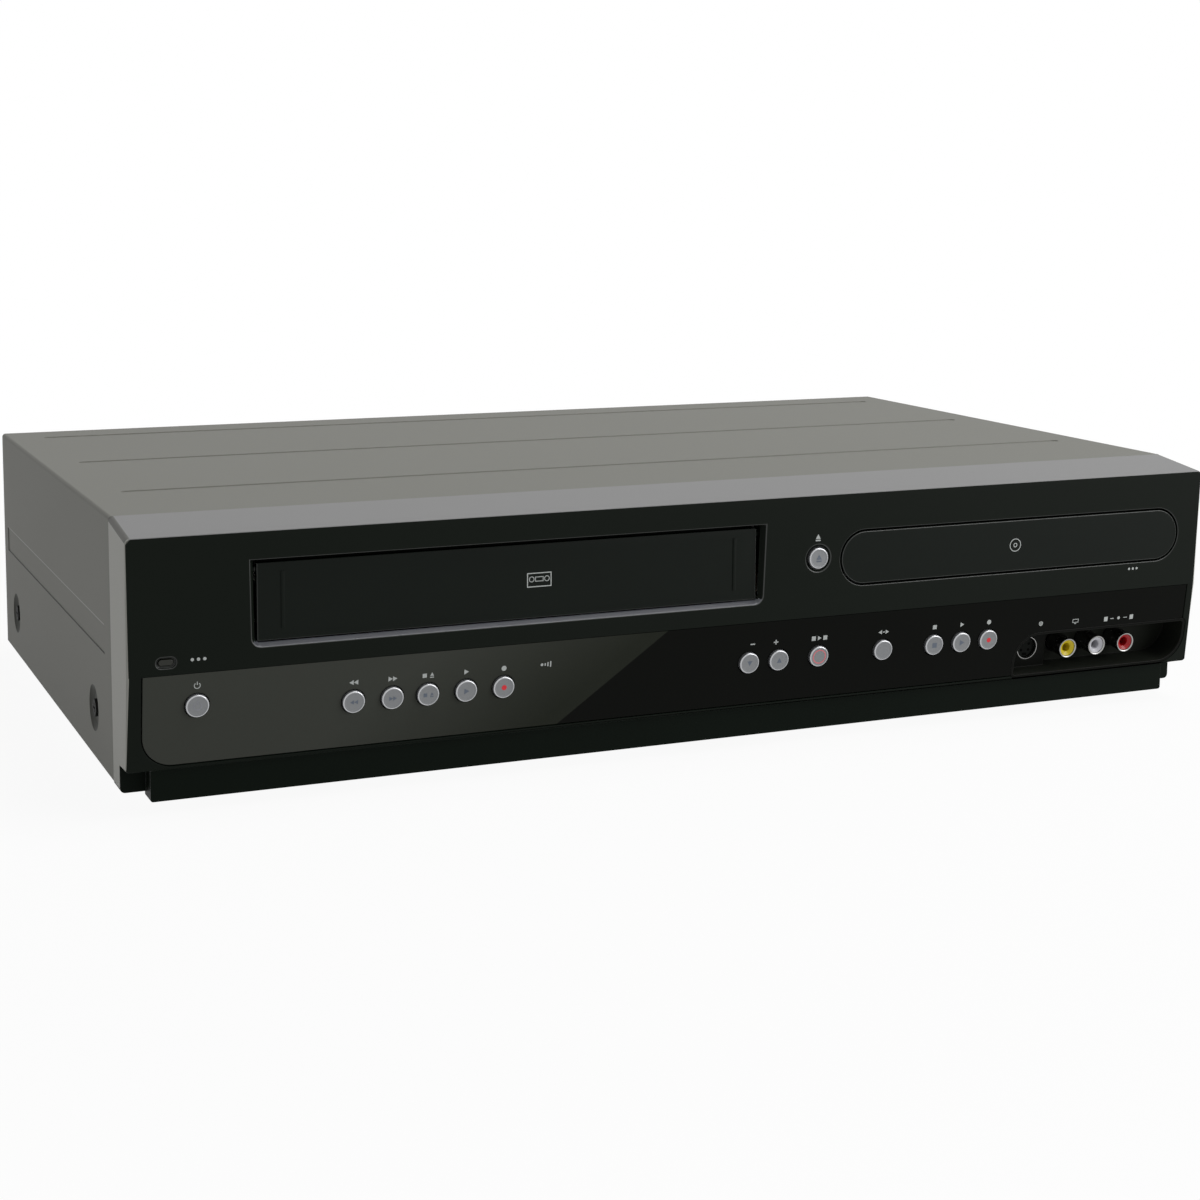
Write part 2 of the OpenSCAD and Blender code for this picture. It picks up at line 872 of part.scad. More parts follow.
// Four-contact round socket and three phono sockets on the front's socket board
module front_jacks() {
  seat = recess_depth + tub_floor;
  color("gold")
  on_lower() {
    front_rca_places()
      rca_socket(recess_depth - rca_proud, seat);
    translate([svideo_x, 0, down(mid_recess_z)])
      difference() {
        union() {
          bar_y(svideo_d, recess_depth - svideo_rise - 0.3, seat);
          slab(seat, seat + jack_body_d)
            square([12, 12], center = true);
        }
        difference() {
          bar_y(svideo_d - 1, 0, recess_depth - svideo_rise + 4);
          bar_y(svideo_d - 3.4, 0, recess_depth - svideo_rise + 5);
        }
        for (turn = [35, 145, 215, 325])
          rotate([0, turn, 0])
            translate([2, 0, 0])
              bar_y(0.9, 0, recess_depth - svideo_rise + 4);
      }
  }
}

switch_size = 6;
switch_body_h = 3.5;
plunger_d = 3.4;
plunger_h = 0.8;

// Square tactile switch, its plunger towards -Y
module tact_switch() {
  slab(board_depth - switch_body_h, board_depth + 0.1)
    square([switch_size, switch_size], center = true);
  bar_y(plunger_d, board_depth - switch_body_h - plunger_h, board_depth - switch_body_h + 0.1);
}

// Boards behind the face, with their switches, the remote sensor and the socket board
module key_boards() {
  jack_seat = recess_depth + tub_floor + jack_body_d;
  color("darkgreen") {
    on_lower() {
      slab(board_depth, board_depth + board_t)
        for (span = [[-half_w + 8.5, -57], [0, recess_x - 4]])
          translate([span[0], down(22)])
            square([span[1] - span[0], down(44) - down(22)]);
      slab(jack_seat, jack_seat + board_t)
        translate([recess_x, down(recess_low_z + 1)])
          square([72, recess_h + 1]);
    }
    lower_button_places()
      tact_switch();
    on_face(sensor_x, row_z + 4) {
      slab(board_depth - 5, board_depth + 0.1)
        square([5.6, 6], center = true);
      bar_y(4, board_depth - 7, board_depth - 4.9);
    }
    on_face(led_x, led_z)
      lamp_on_bracket();
    on_face(open_x, open_z) {
      slab(board_depth, board_depth + board_t)
        square([10, 24], center = true);
      tact_switch();
    }
  }
}

// Lamp on a strip that stands on the left key board
module lamp_on_bracket() {
  bar_y(3, wall + 1.2, wall + 6.1);
  slab(wall + 6, wall + 6 + board_t)
    translate([-3, -12])
      square([6, 15]);
  slab(wall + 6, board_depth + 1.2)
    translate([-3, -12 - board_t / 2])
      square([6, board_t]);
}

// Tube display behind the smoked panel
module display_module() {
  color("darkslategray")
  on_face(display_x, display_z) {
    slab(panel_t + 0.3, panel_t + 5)
      square([display_w, display_h], center = true);
    slab(panel_t + 5, panel_t + 6.6)
      square([display_w + 14, display_h + 5], center = true);
    for (side = [-1, 1])
      translate([side * (display_w / 2 + 4), 0, 0])
        bar_y(4, back_wall + panel_t, panel_t + 5.2);
  }
}

cap_edge = 0.4;          // bevel round a button's cap
dish_depth = 0.2;

// Push button: cap, flange behind the wall and a stem to its switch
module push_button(x, z, face_wall, proud) {
  flange_at = face_wall + flange_gap;
  stem_end = board_depth - switch_body_h - plunger_h - button_travel - clear;
  color("silver")
  on_face(x, z)
    difference() {
      union() {
        bar_y(button_d, -proud + cap_edge, flange_at + 0.1);
        translate([0, -proud + cap_edge, 0])
          rotate([90, 0, 0])
            cylinder(d1 = button_d, d2 = button_d - 2 * cap_edge, h = cap_edge);
        bar_y(button_d + 1.6, flange_at, flange_at + flange_t);
        bar_y(3, flange_at + flange_t - 0.1, stem_end);
      }
      translate([0, -proud - 0.01, 0])
        rotate([-90, 0, 0])
          cylinder(d1 = button_d - 1.6, d2 = button_d - 2.2, h = dish_depth);
    }
}

module row_button(i) {
  push_button(row_x[i], row_z, lower_wall, button_proud);
}

module standby_button() push_button(standby_x, standby_z, lower_wall, button_proud);
module rewind_button() row_button(0);
module forward_button() row_button(1);
module tape_stop_button() row_button(2);
module tape_play_button() row_button(3);
module tape_record_button() row_button(4);
module tracking_down_button() row_button(5);
module tracking_up_button() row_button(6);
module dubbing_button() row_button(7);
module source_button() row_button(8);
module disc_stop_button() row_button(9);
module disc_play_button() row_button(10);
module disc_record_button() row_button(11);
module open_close_button() push_button(open_x, open_z, wall, button_proud / 2);

door_hinge_z = door_top - 2;
door_hinge_d = door_set + door_t + 0.4;

door_ridge_in = 9;       // raised lines this far inside the door's ends

// Flap with a pin at each end of its upper edge and a raised line near each end
module cassette_door() {
  low = slot_low + clear;
  color([0.1, 0.1, 0.11]) {
    deep_block([slot_x - door_w / 2, door_set, low],
      [slot_x + door_w / 2, door_set + door_t, door_top]);
    twin_blocks(slot_x, door_w / 2 - door_ridge_in, 0.6, [door_set - 0.3, door_set + 0.2],
      [low + 4, door_top - 3]);
    door_pins(-1.5, 4, 3);
    door_pins(2, door_pin_d, 5);
  }
}

front_t = 3;
tray_front_d = 8;        // depth at which the door's lugs meet the tray

// Door of the disc tray, flush in the face, with two lugs to the tray
module tray_front() {
  color([0.1, 0.1, 0.11]) {
    on_face(disc_x, disc_z)
      slab(0, front_t)
        stadium(disc_w, disc_h);
    twin_blocks(disc_x, tray_w / 2 - 14, 6, [front_t, tray_front_d], [tray_z + 1, tray_z + tray_t - 1]);
  }
}

// ---- Boards, supply and rear sockets ----

// Point of a board at a share of its width and of its depth
function share_of(area, x, y) = [
  area[0][0] + x * (area[1][0] - area[0][0]), front_y + area[0][1] + y * (area[1][1] - area[0][1])
];

// Components that stand on a board: shares of its width and depth, footprints and heights
module chips(list, area, z) {
  for (c = list)
    translate([share_of(area, c[0], c[1])[0], share_of(area, c[0], c[1])[1], z])
      linear_extrude(c[4])
        square([c[2], c[3]], center = true);
}

module cans(list, area, z) {
  for (c = list)
    translate([share_of(area, c[0], c[1])[0], share_of(area, c[0], c[1])[1], z])
      cylinder(d = c[2], h = c[3]);
}

main_area = [[-board_edge, board_front], [board_split, board_rear]];

module main_board() {
  top = board_z + board_t;
  color("darkgreen") {
    deep_block([-board_edge, board_front, board_z], [board_split, board_rear, top]);
    chips([
      [0.452, 0.307, 28, 28, 2.4], [0.695, 0.409, 22, 20, 2], [0.826, 0.307, 24, 12, 2.2],
      [0.296, 0.766, 20, 12, 2.2], [0.072, 0.255, 14, 22, 3], [0.913, 0.766, 16, 10, 2.6],
      [0.763, 0.639, 10, 10, 2]
    ], main_area, top);
    cans([
      [0.545, 0.307, 8, 10], [0.358, 0.102, 6, 8], [0.713, 0.153, 8, 10], [0.888, 0.179, 6, 9],
      [0.327, 0.868, 8, 10]
    ], main_area, top);
  }
}

supply_area = [[board_split + supply_gap, board_front + 2], [supply_edge, board_rear]];
sink_at = share_of(supply_area, 0.516, 0.629);
sink_len = 26;
fin_step = 5;

// Supply board with its transformer, reservoir capacitors and heat sink
module power_supply() {
  top = board_z + board_t;
  core_z = 6;
  core_h = 20;
  sink_h = 34;
  color("peru") {
    deep_block([supply_area[0][0], supply_area[0][1], board_z], [supply_edge, board_rear, top]);
    translate([share_of(supply_area, 0.341, 0.315)[0], share_of(supply_area, 0.341, 0.315)[1], top]) {
      linear_extrude(core_z)
        square([34, 30], center = true);
      translate([0, 0, core_z])
        linear_extrude(core_h)
          square([30, 18], center = true);
      translate([0, 0, core_z + 3])
        linear_extrude(core_h - core_z)
          square([20, 30], center = true);
    }
    cans([
      [0.78, 0.236, 18, 30], [0.78, 0.524, 12, 24], [0.099, 0.655, 10, 20], [0.275, 0.786, 10, 20]
    ], supply_area, top);
    translate([sink_at[0], sink_at[1], top])
      block([-2, 0, 0], [2, sink_len, sink_h]);
    for (i = [0:4])
      translate([sink_at[0], sink_at[1] + 2 + i * fin_step, top])
        block([-8, 0, 6], [8, 1.2, sink_h]);
    chips([[0.89, 0.839, 12, 14, 10]], supply_area, top);
  }
}

antenna_d = 9.4;

tuner_w = 34;
tuner_top = 70;
tuner_front = panel_inner - 32.3;

// Shielded tuner box on the main board
module tuner() {
  color("lightgray")
  difference() {
    deep_block([antenna_x - tuner_w / 2, tuner_front, board_z + board_t],
      [antenna_x + tuner_w / 2, panel_inner - 0.5, tuner_top]);
    for (row = [0:3], i = [0:2])
      translate([antenna_x - 10 + i * 10, front_y + tuner_front + 8 + row * 5, tuner_top - 0.6])
        cylinder(d = 2.4, h = cut);
  }
}

// Threaded coaxial sockets on the tuner
module antenna_jacks() {
  rear = panel_inner - 0.5;
  color("silver")
  translate([antenna_x, front_y])
    for (z = antenna_z)
      translate([0, 0, z])
        difference() {
          union() {
            bar_y(antenna_d, rear, total_d);
            for (i = [0:3])
              bar_y(antenna_d + 0.7, rear + 3 + i * 1.7, rear + 3.8 + i * 1.7);
          }
          bar_y(1.2, total_d - 7, total_d + cut);
          difference() {
            bar_y(antenna_d - 1.6, total_d - 0.8, total_d + cut);
            bar_y(antenna_d - 4, total_d - 1.2, total_d + 2 * cut);
          }
        }
}

// Ten phono sockets in two rows on one moulding, and the flat digital video socket
module rear_jacks() {
  inner = panel_inner - 0.4;
  low = board_z + board_t;
  mid_x = rear_jack_x + (rear_jack_cols - 1) * rear_jack_step_x / 2;
  width = rear_jack_cols * rear_jack_step_x;
  shell = 0.7;
  shank_d = rca_d - 2.5;
  shank = 6;
  color("khaki") {
    difference() {
      deep_block([mid_x - width / 2, inner - 9, low],
        [mid_x + width / 2, inner, rear_jack_z + rear_jack_step_z + 9]);
      translate([0, front_y])
        rear_rca_places()
          bar_y(shank_d + 2 * run_fit, inner - shank, inner + cut);
    }
    translate([0, front_y])
      rear_rca_places()
        difference() {
          union() {
            bar_y(rca_d, inner + run_fit, total_d - 0.6);
            bar_y(shank_d, inner - shank + run_fit, inner + 0.1);
          }
          bar_y(rca_bore, total_d - 9, total_d + cut);
        }
    difference() {
      union() {
        deep_block([hdmi_x - hdmi_w / 2, inner - 11, low],
          [hdmi_x + hdmi_w / 2, inner, hdmi_z + hdmi_h / 2]);
        translate([hdmi_x, front_y, hdmi_z])
          slab(inner - 1, cover_rear - 0.2)
            square([hdmi_w, hdmi_h], center = true);
      }
      translate([hdmi_x, front_y, hdmi_z])
        slab(inner - 6, total_d)
          square([hdmi_w - 2 * shell, hdmi_h - 2 * shell], center = true);
    }
    translate([hdmi_x, front_y, hdmi_z - 0.2])
      slab(inner - 6.2, cover_rear - 1.4)
        square([hdmi_w - 4.4, 1.2], center = true);
  }
}

gland_d = 12;
cord_hole_d = 6.6;

// Strain relief for the supply cord
module cord_gland() {
  inner = panel_inner;
  outer = panel_outer;
  color([0.1, 0.1, 0.1])
  translate([gland_x, front_y, gland_z])
    difference() {
      union() {
        bar_y(gland_d, inner - 4, outer);
        bar_y(gland_d + 4, outer, outer + 2.4);
        bar_y(gland_d + 3, inner - 3, inner);
        translate([0, outer + 2.4, 0])
          rotate([-90, 0, 0])
            cylinder(d1 = gland_d, d2 = gland_d - 2.4, h = total_d - outer - 2.8);
      }
      bar_y(cord_hole_d, inner - 8, total_d + cut);
    }
}

fan_t = 10;
fan_front = panel_inner - fan_t;
fan_hub_d = 18;
fan_shaft_d = 2.4;

// Square fan housing with its bearing held by four spokes
module fan_frame() {
  bore = fan_size - 2.4;
  color([0.12, 0.12, 0.12])
  translate([fan_x, front_y, fan_z])
    difference() {
      union() {
        slab(fan_front, fan_front + fan_t)
          difference() {
            square(fan_size, center = true);
            circle(d = bore);
          }
        slab(fan_front + fan_t - 2, fan_front + fan_t) {
          circle(d = fan_hub_d);
          for (turn = [45, 135])
            rotate(turn)
              square([bore + 1, 2.4], center = true);
        }
      }
      bar_y(fan_shaft_d + 2 * run_fit, fan_front - cut, fan_front + fan_t - 0.6);
      for (sx = [-1, 1], sz = [-1, 1])
        translate([sx * (fan_size / 2 - 4), 0, sz * (fan_size / 2 - 4)])
          bar_y(3.4, fan_front - cut, fan_front + fan_t + cut);
    }
}

// Hub with seven pitched blades
module fan_rotor() {
  hub_end = fan_front + fan_t - 2 - clear;
  root = fan_hub_d / 2 - 0.6;
  blade_w = 5.2;
  pitch = 35;
  color([0.18, 0.18, 0.18])
  translate([fan_x, front_y, fan_z]) {
    bar_y(fan_hub_d, fan_front + 0.6, hub_end);
    bar_y(fan_shaft_d, hub_end - 0.1, fan_front + fan_t - 0.9);
    for (i = [0:6])
      rotate([0, i * 360 / 7, 0])
        translate([root, fan_front + (fan_t - 2) / 2, 0])
          rotate([pitch, 0, 0])
            translate([0, -blade_w / 2, -0.5])
              cube([fan_size / 2 - 2 - root, blade_w, 1]);
  }
}

// Flat cables that join the deck and the drive to the main board
module ribbon_cables() {
  t = 0.4;
  foot = 8;
  low = board_z + board_t;
  color("white") {
    along_x(-20, 4)
      translate([front_y, 0])
        polygon([
          [deck_rear - foot - t, low], [deck_rear, low], [deck_rear, low + t],
          [deck_rear - foot, low + t], [deck_rear - foot, deck_z - deck_t],
          [deck_rear - foot - t, deck_z - deck_t]
        ]);
    along_x(92, 108)
      translate([front_y, 0])
        polygon([
          [drive_rear + 2, low], [drive_rear + 2 + foot, low], [drive_rear + 2 + foot, low + t],
          [drive_rear + 2 + t, low + t], [drive_rear + 2 + t, base_z + 1],
          [drive_rear, base_z + 1], [drive_rear, base_z + 1 - t], [drive_rear + 2, base_z + 1 - t]
        ]);
  }
}

// ---- Tape deck ----

deck_t = 1.5;
deck_front = 32;
deck_rear = 224;
deck_left = slot_x - 103;
deck_right = slot_x + 108;
leg_d = 8;
reel_y = 88;
reel_shaft_d = 4;
reel_shaft_h = 13;
drum_y = 188;
capstan_d = 3;
capstan_off = 66;        // capstan right of the slot's middle
capstan_y = 140;
capstan_top = 28;        // heights of the tape path are over the deck plate
flywheel_d = 44;
flywheel_low = 15;
pinch_d = 14;
pinch_pivot = [20, 16];  // from the capstan to the arm's pivot
pinch_closed = [0, capstan_d / 2 + pinch_d / 2 + 0.2];
pinch_reach = norm(pinch_closed - pinch_pivot);
pinch_open = 35;
pinch_turn = 180 + atan((pinch_pivot[1] - pinch_closed[1]) / (pinch_pivot[0] - pinch_closed[0])) - pinch_open;
arm_low = 6.4;
arm_t = 2;
pivot_d = 4;
guide_x = 40;
guide_y = 140;
guide_pin_d = 5;
cam_off = [-62, 206];
cam_shaft_d = 4;
cam_h = 6;

module at_capstan() {
  translate([slot_x + capstan_off, front_y + capstan_y, deck_z])
    children();
}

module at_pinch_pivot() {
  at_capstan()
    translate([pinch_pivot[0], pinch_pivot[1], 0])
      children();
}

module at_cam() {
  translate([slot_x + cam_off[0], front_y + cam_off[1], deck_z - deck_t - clear - cam_h])
    children();
}

// Pressed plate on four legs, with slots for the tape guides and fixed shafts
module deck_plate() {
  color("silver")
  difference() {
    union() {
      deep_block([deck_left, deck_front, deck_z - deck_t], [deck_right, deck_rear, deck_z]);
      for (x = [deck_left + 6, deck_right - 6], y = [deck_front + 8, board_front - 10])
        translate([x, front_y + y, deck_floor])
          cylinder(d = leg_d, h = deck_z - deck_t - deck_floor + 0.1);
      at_capstan()
        translate([0, 0, -8])
          cylinder(d = 10, h = 14);
      at_cam()
        translate([0, 0, -4])
          cylinder(d = cam_shaft_d, h = cam_h + 4 + clear + deck_t / 2);
      for (side = [-1, 1])
        translate([slot_x + side * reel_step / 2, front_y + reel_y, deck_z - 0.1])
          cylinder(d = reel_shaft_d, h = reel_shaft_h);
      at_pinch_pivot()
        translate([0, 0, -0.1])
          cylinder(d = pivot_d, h = 22);
    }
    for (side = [-1, 1])
      translate([slot_x + side * guide_x, front_y + guide_y + guide_travel / 2, deck_z - deck_t - cut])
        linear_extrude(deck_t + 2 * cut)
          rotate(90)
            stadium(guide_travel + guide_pin_d + 2 * clear, guide_pin_d + 2 * clear);
    at_capstan()
      translate([0, 0, -20])
        cylinder(d = capstan_d + 2 * run_fit, h = 60);
  }
}

sheet = 1;               // sheet of the cassette mechanism
holder_half = slot_w / 2 + 1.1;
holder_depths = [34, 88];
holder_top = slot_top + 1.2;
holder_low = slot_low + 0.2;
lift_pin_d = 3;
lift_pin_y = [48, 76];
lift_pin_z = 68;
carriage_half = holder_half + 2.6;
carriage_depths = [36, 84];
carriage_top = holder_top + 1.6;
carriage_pin_d = 4;
carriage_pin_y = 60;
carriage_pin_z = 80;
guides_in = carriage_half + 1.6;
guides_depths = [34, 158];
guides_top = carriage_top + 3;

// Slot of round ends through an upright sheet: middle in depth and height, travel along it
module pin_slot(x, y, z, travel, d, turn) {
  translate([x - 3, front_y + y, z])
    rotate([90, 0, 90])
      linear_extrude(6)
        rotate(turn)
          stadium(travel + d + 2 * clear, d + 2 * clear);
}

// Short pin across an upright sheet
module side_pin(x, y, z, d) {
  translate([x, front_y + y, z])
    rotate([0, 90, 0])
      cylinder(d = d, h = 3, center = true);
}

// Two upright brackets beside the cassette, tied together over the top
module cassette_guides() {
  mid = guides_in + sheet / 2;
  color("silver")
  difference() {
    union() {
      twin_blocks(slot_x, mid, sheet / 2, guides_depths, [deck_z, guides_top]);
      for (y = [guides_depths[0], guides_depths[1] - 10])
        deep_block([slot_x - mid, y, guides_top - sheet], [slot_x + mid, y + 10, guides_top]);
    }
    for (i = [0:2])
      twin_blocks(slot_x, mid, sheet, [44 + i * 38, 72 + i * 38], [deck_z + 8, deck_z + 22]);
    for (side = [-1, 1])
      pin_slot(slot_x + side * mid, carriage_pin_y + carriage_travel / 2, carriage_pin_z,
        carriage_travel, carriage_pin_d, 0);
  }
}

// Slides towards the rear on two pins and carries the holder in upright slots
module cassette_carriage() {
  mid = carriage_half - sheet / 2;
  color("gainsboro")
  difference() {
    union() {
      deep_block([slot_x - mid, carriage_depths[0], carriage_top - sheet],
        [slot_x + mid, carriage_depths[1], carriage_top]);
      twin_blocks(slot_x, mid, sheet / 2, carriage_depths, [deck_z + 3, carriage_top]);
      for (side = [-1, 1])
        side_pin(slot_x + side * (carriage_half + 1.4), carriage_pin_y, carriage_pin_z,
          carriage_pin_d);
    }
    deep_block([slot_x - 60, carriage_depths[0] + 12, carriage_top - 3],
      [slot_x + 60, carriage_depths[1] - 8, carriage_top + cut]);
    for (side = [-1, 1], y = lift_pin_y)
      pin_slot(slot_x + side * mid, y, lift_pin_z - holder_drop / 2, holder_drop, lift_pin_d, 90);
  }
}

// Cage that takes the cassette: roof, two sides, two ledges, two stops and leaf springs
module cassette_holder() {
  mid = holder_half - sheet / 2;
  ledge = 10;
  stop = 20;
  color("silver") {
    difference() {
      union() {
        deep_block([slot_x - mid, holder_depths[0], holder_top - sheet],
          [slot_x + mid, holder_depths[1], holder_top]);
        twin_blocks(slot_x, mid, sheet / 2, holder_depths, [holder_low, holder_top]);
        twin_blocks(slot_x, holder_half - ledge / 2, ledge / 2, holder_depths,
          [holder_low, holder_low + sheet]);
        twin_blocks(slot_x, holder_half - stop / 2, stop / 2,
          [holder_depths[1] - sheet, holder_depths[1]], [holder_low, holder_top]);
        for (side = [-1, 1], y = lift_pin_y)
          side_pin(slot_x + side * (holder_half + 1.3), y, lift_pin_z, lift_pin_d);
      }
      twin_blocks(slot_x, reel_step / 2, 20, [holder_depths[0] + 10, holder_depths[1] - 12],
        [holder_top - 3, holder_top + cut]);
    }
    twin_blocks(slot_x, reel_step / 2, 4, [holder_depths[0] + 6, holder_depths[1] - 8],
      [holder_top - sheet - 0.6, holder_top - sheet]);
  }
}

drum_low_h = 16;
drum_gap = 0.6;
drum_high_h = 15;
drum_shaft_d = 6;
drum_seat = 5.4;

module at_drum() {
  translate([slot_x, front_y + drum_y, deck_z + drum_seat])
    rotate([drum_tilt, 0, 0])
      children();
}

// Fixed lower drum with its tape ledge, on a level foot
module drum_base() {
  color("lightgray") {
    at_drum() {
      cylinder(d = drum_d, h = drum_low_h);
      cylinder(d = drum_d + 1.6, h = drum_low_h - 6);
      translate([0, 0, drum_low_h - 0.1])
        cylinder(d = drum_shaft_d, h = drum_high_h + 3);
    }
    translate([slot_x, front_y + drum_y, deck_z])
      cylinder(d = drum_d - 8, h = drum_seat + 2.6);
  }
}

// Rotating upper drum with its head windows
module head_drum() {
  bevel = 2;
  color("gainsboro")
  at_drum()
    translate([0, 0, drum_low_h + drum_gap])
      difference() {
        union() {
          cylinder(d = drum_d, h = drum_high_h - bevel);
          translate([0, 0, drum_high_h - bevel])
            cylinder(d1 = drum_d, d2 = drum_d - 3, h = bevel);
        }
        translate([0, 0, -cut])
          cylinder(d = drum_shaft_d + 2 * run_fit, h = drum_high_h + 2 * cut);
        translate([0, 0, drum_high_h - 4])
          difference() {
            cylinder(d = drum_d - 8, h = 6);
            translate([0, 0, -cut])
              cylinder(d = 22, h = 9);
          }
        for (turn = [0:90:270])
          rotate([0, 0, turn])
            translate([drum_d / 2, 0, 0])
              cube([3, 2, 1.6], center = true);
      }
}

// Reel table with a splined hub, turning on a fixed shaft
module reel(side) {
  splines = 6;
  color("whitesmoke")
  translate([slot_x + side * reel_step / 2, front_y + reel_y, deck_z + clear])
    difference() {
      union() {
        cylinder(d = reel_d, h = 3);
        cylinder(d = 16, h = 7);
        cylinder(d = 9, h = 14);
        for (i = [0:splines - 1])
          rotate([0, 0, i * 360 / splines])
            translate([0, -0.7, 0])
              cube([7.4, 1.4, 12]);
      }
      translate([0, 0, -cut])
        cylinder(d = reel_shaft_d + 2 * run_fit, h = reel_shaft_h + 0.2 + cut);
    }
}

module supply_reel() reel(-1);
module takeup_reel() reel(1);

// Capstan shaft with its flywheel under the deck
module capstan() {
  color("lightsteelblue")
  at_capstan()
    translate([0, 0, -flywheel_low]) {
      cylinder(d = capstan_d, h = flywheel_low + capstan_top);
      cylinder(d = flywheel_d, h = 6.4);
    }
}

// Arm that presses the rubber roller on the capstan, drawn swung open
module pinch_arm() {
  color("silver")
  at_pinch_pivot()
    difference() {
      union() {
        translate([0, 0, arm_low])
          cylinder(d = 9, h = 14);
        rotate([0, 0, pinch_turn]) {
          translate([0, -3, arm_low])
            cube([pinch_reach, 6, arm_t]);
          translate([pinch_reach, 0, arm_low])
            cylinder(d = 7, h = arm_t);
          translate([pinch_reach, 0, arm_low + arm_t - 0.1])
            cylinder(d = 3, h = 17);
        }
      }
      cylinder(d = pivot_d + 2 * run_fit, h = 40);
    }
}

module pinch_roller() {
  color([0.15, 0.15, 0.15])
  at_pinch_pivot()
    rotate([0, 0, pinch_turn])
      translate([pinch_reach, 0, arm_low + arm_t + clear])
        difference() {
          cylinder(d = pinch_d, h = 14);
          translate([0, 0, -cut])
            cylinder(d = 3 + 2 * run_fit, h = 14 + 2 * cut);
        }
}

// Sliding base with its upright roller guide
module tape_guide(side) {
  under = deck_t + clear + 1.6;
  color("lightgray")
  translate([slot_x + side * guide_x, front_y + guide_y, deck_z]) {
    translate([0, 0, clear])
      linear_extrude(2)
        rotate(90)
          stadium(12, 8);
    translate([0, 0, -under])
      cylinder(d = guide_pin_d, h = under + clear + 0.1);
    translate([0, 0, -under])
      cylinder(d = 8, h = 1.6);
    cylinder_from(clear + 1.9, 28, 2.6);
    cylinder_from(9, 23.5, 6);
  }
}

module cylinder_from(low, high, d) {
  translate([0, 0, low])
    cylinder(d = d, h = high - low);
}

module guide_supply() tape_guide(-1);
module guide_takeup() tape_guide(1);

// Full-erase head on the supply side and audio head on the take-up side
module tape_heads() {
  color("gray")
  for (side = [-1, 1])
    translate([slot_x + side * (guide_x + 9), front_y + capstan_y + 18, deck_z]) {
      cylinder(d = 7, h = 6);
      translate([0, 0, 6])
        linear_extrude(1.6)
          square([8, 13], center = true);
      translate([0, 0, 7.6])
        linear_extrude(16)
          square([7, 10], center = true);
    }
}

cam_teeth = 48;
cam_d = 42;

// Toothed wheel with a cam track, which drives the tape guides from under the deck
module cam_gear() {
  tooth = 1.4;
  color("ivory")
  at_cam()
    difference() {
      union() {
        cylinder(d = cam_d - 2 * tooth + 0.8, h = cam_h);
        for (i = [0:cam_teeth - 1])
          rotate([0, 0, i * 360 / cam_teeth])
            translate([cam_d / 2 - tooth, -0.6, 0])
              cube([tooth, 1.2, cam_h]);
      }
      translate([0, 0, -cut])
        cylinder(d = cam_shaft_d + 2 * run_fit, h = cam_h + 2 * cut);
      translate([0, 0, -cut])
        difference() {
          cylinder(d = 30, h = cut + 2);
          translate([0, 0, -cut])
            cylinder(d = 25, h = 4 * cut);
        }
    }
}

// ---- Disc drive ----

base_z = disc_z - 17.4;
base_t = 2;
drive_depths = [12, 205];
drive_rear = drive_depths[1];
drive_wall = 4;
side_top = disc_z + 4.6;
tray_z = disc_z - tray_t - 0.8;
tray_side = tray_w / 2 + clear;
spindle_y = 80;
tooth_count = 16;
tooth_pitch = 2.827;
gear_pitch_r = tooth_count * tooth_pitch / (2 * PI);
gear_y = 34;
gear_h = 7;
gear_shaft_d = 4;
rack_x = disc_x - 52;    // outer wall of the tray's left hollow, where the rack's tips are
gear_x = rack_x + gear_pitch_r - 0.7;
hinge_y = 152;
hinge_z = base_z + 4.6;
hinge_pin_d = 3;
hinge_off = 40.4;
hub_window = 21;         // half width of the tray's open slot

module at_tray_gear() {
  translate([gear_x, front_y + gear_y, base_z + base_t])
    children();
}

module at_spindle(z) {
  translate([disc_x, front_y + spindle_y, z])
    children();
}

// Frame with side walls, ledges for the tray and four legs
module drive_base() {
  reach = tray_side + drive_wall;
  color([0.2, 0.2, 0.22])
  difference() {
    union() {
      deep_block([disc_x - reach, drive_depths[0], base_z],
        [disc_x + reach, drive_rear, base_z + base_t]);
      twin_blocks(disc_x, reach - drive_wall / 2, drive_wall / 2, drive_depths, [base_z, side_top]);
      twin_blocks(disc_x, tray_side - 2, 2.1, drive_depths, [base_z, tray_z - clear]);
      for (y = [16, 104, 184])
        twin_blocks(disc_x, tray_side - 1, 1.1, [y, y + 14],
          [tray_z + tray_t + clear, tray_z + tray_t + clear + 2]);
      for (side = [-1, 1], y = [40, board_front - 11])
        translate([disc_x + side * (reach - 5), front_y + y, deck_floor])
          cylinder(d = leg_d, h = base_z - deck_floor + 0.1);
      deep_block([disc_x - tray_side, drive_rear - 3, base_z], [disc_x + tray_side, drive_rear, side_top - 4]);
      at_tray_gear()
        translate([0, 0, -0.1])
          cylinder(d = gear_shaft_d, h = gear_h + 1.6);
      twin_blocks(disc_x, hinge_off, 1.8, [hinge_y - 4, hinge_y + 4], [base_z, hinge_z + 3.2]);
    }
    deep_block([disc_x - 38, spindle_y - 28, base_z - cut], [disc_x + 38, 160, base_z + base_t + cut]);
    hinge_pins(hinge_off, hinge_pin_d + 2 * run_fit, 8);
  }
}

// Round pieces on the traverse's hinge line, one each side
module hinge_pins(off, d, length) {
  for (side = [-1, 1])
    translate([disc_x + side * off, front_y + hinge_y, hinge_z])
      rotate([0, 90, 0])
        cylinder(d = d, h = length, center = true);
}

hollow_w = 26;
hollow_z = 3;

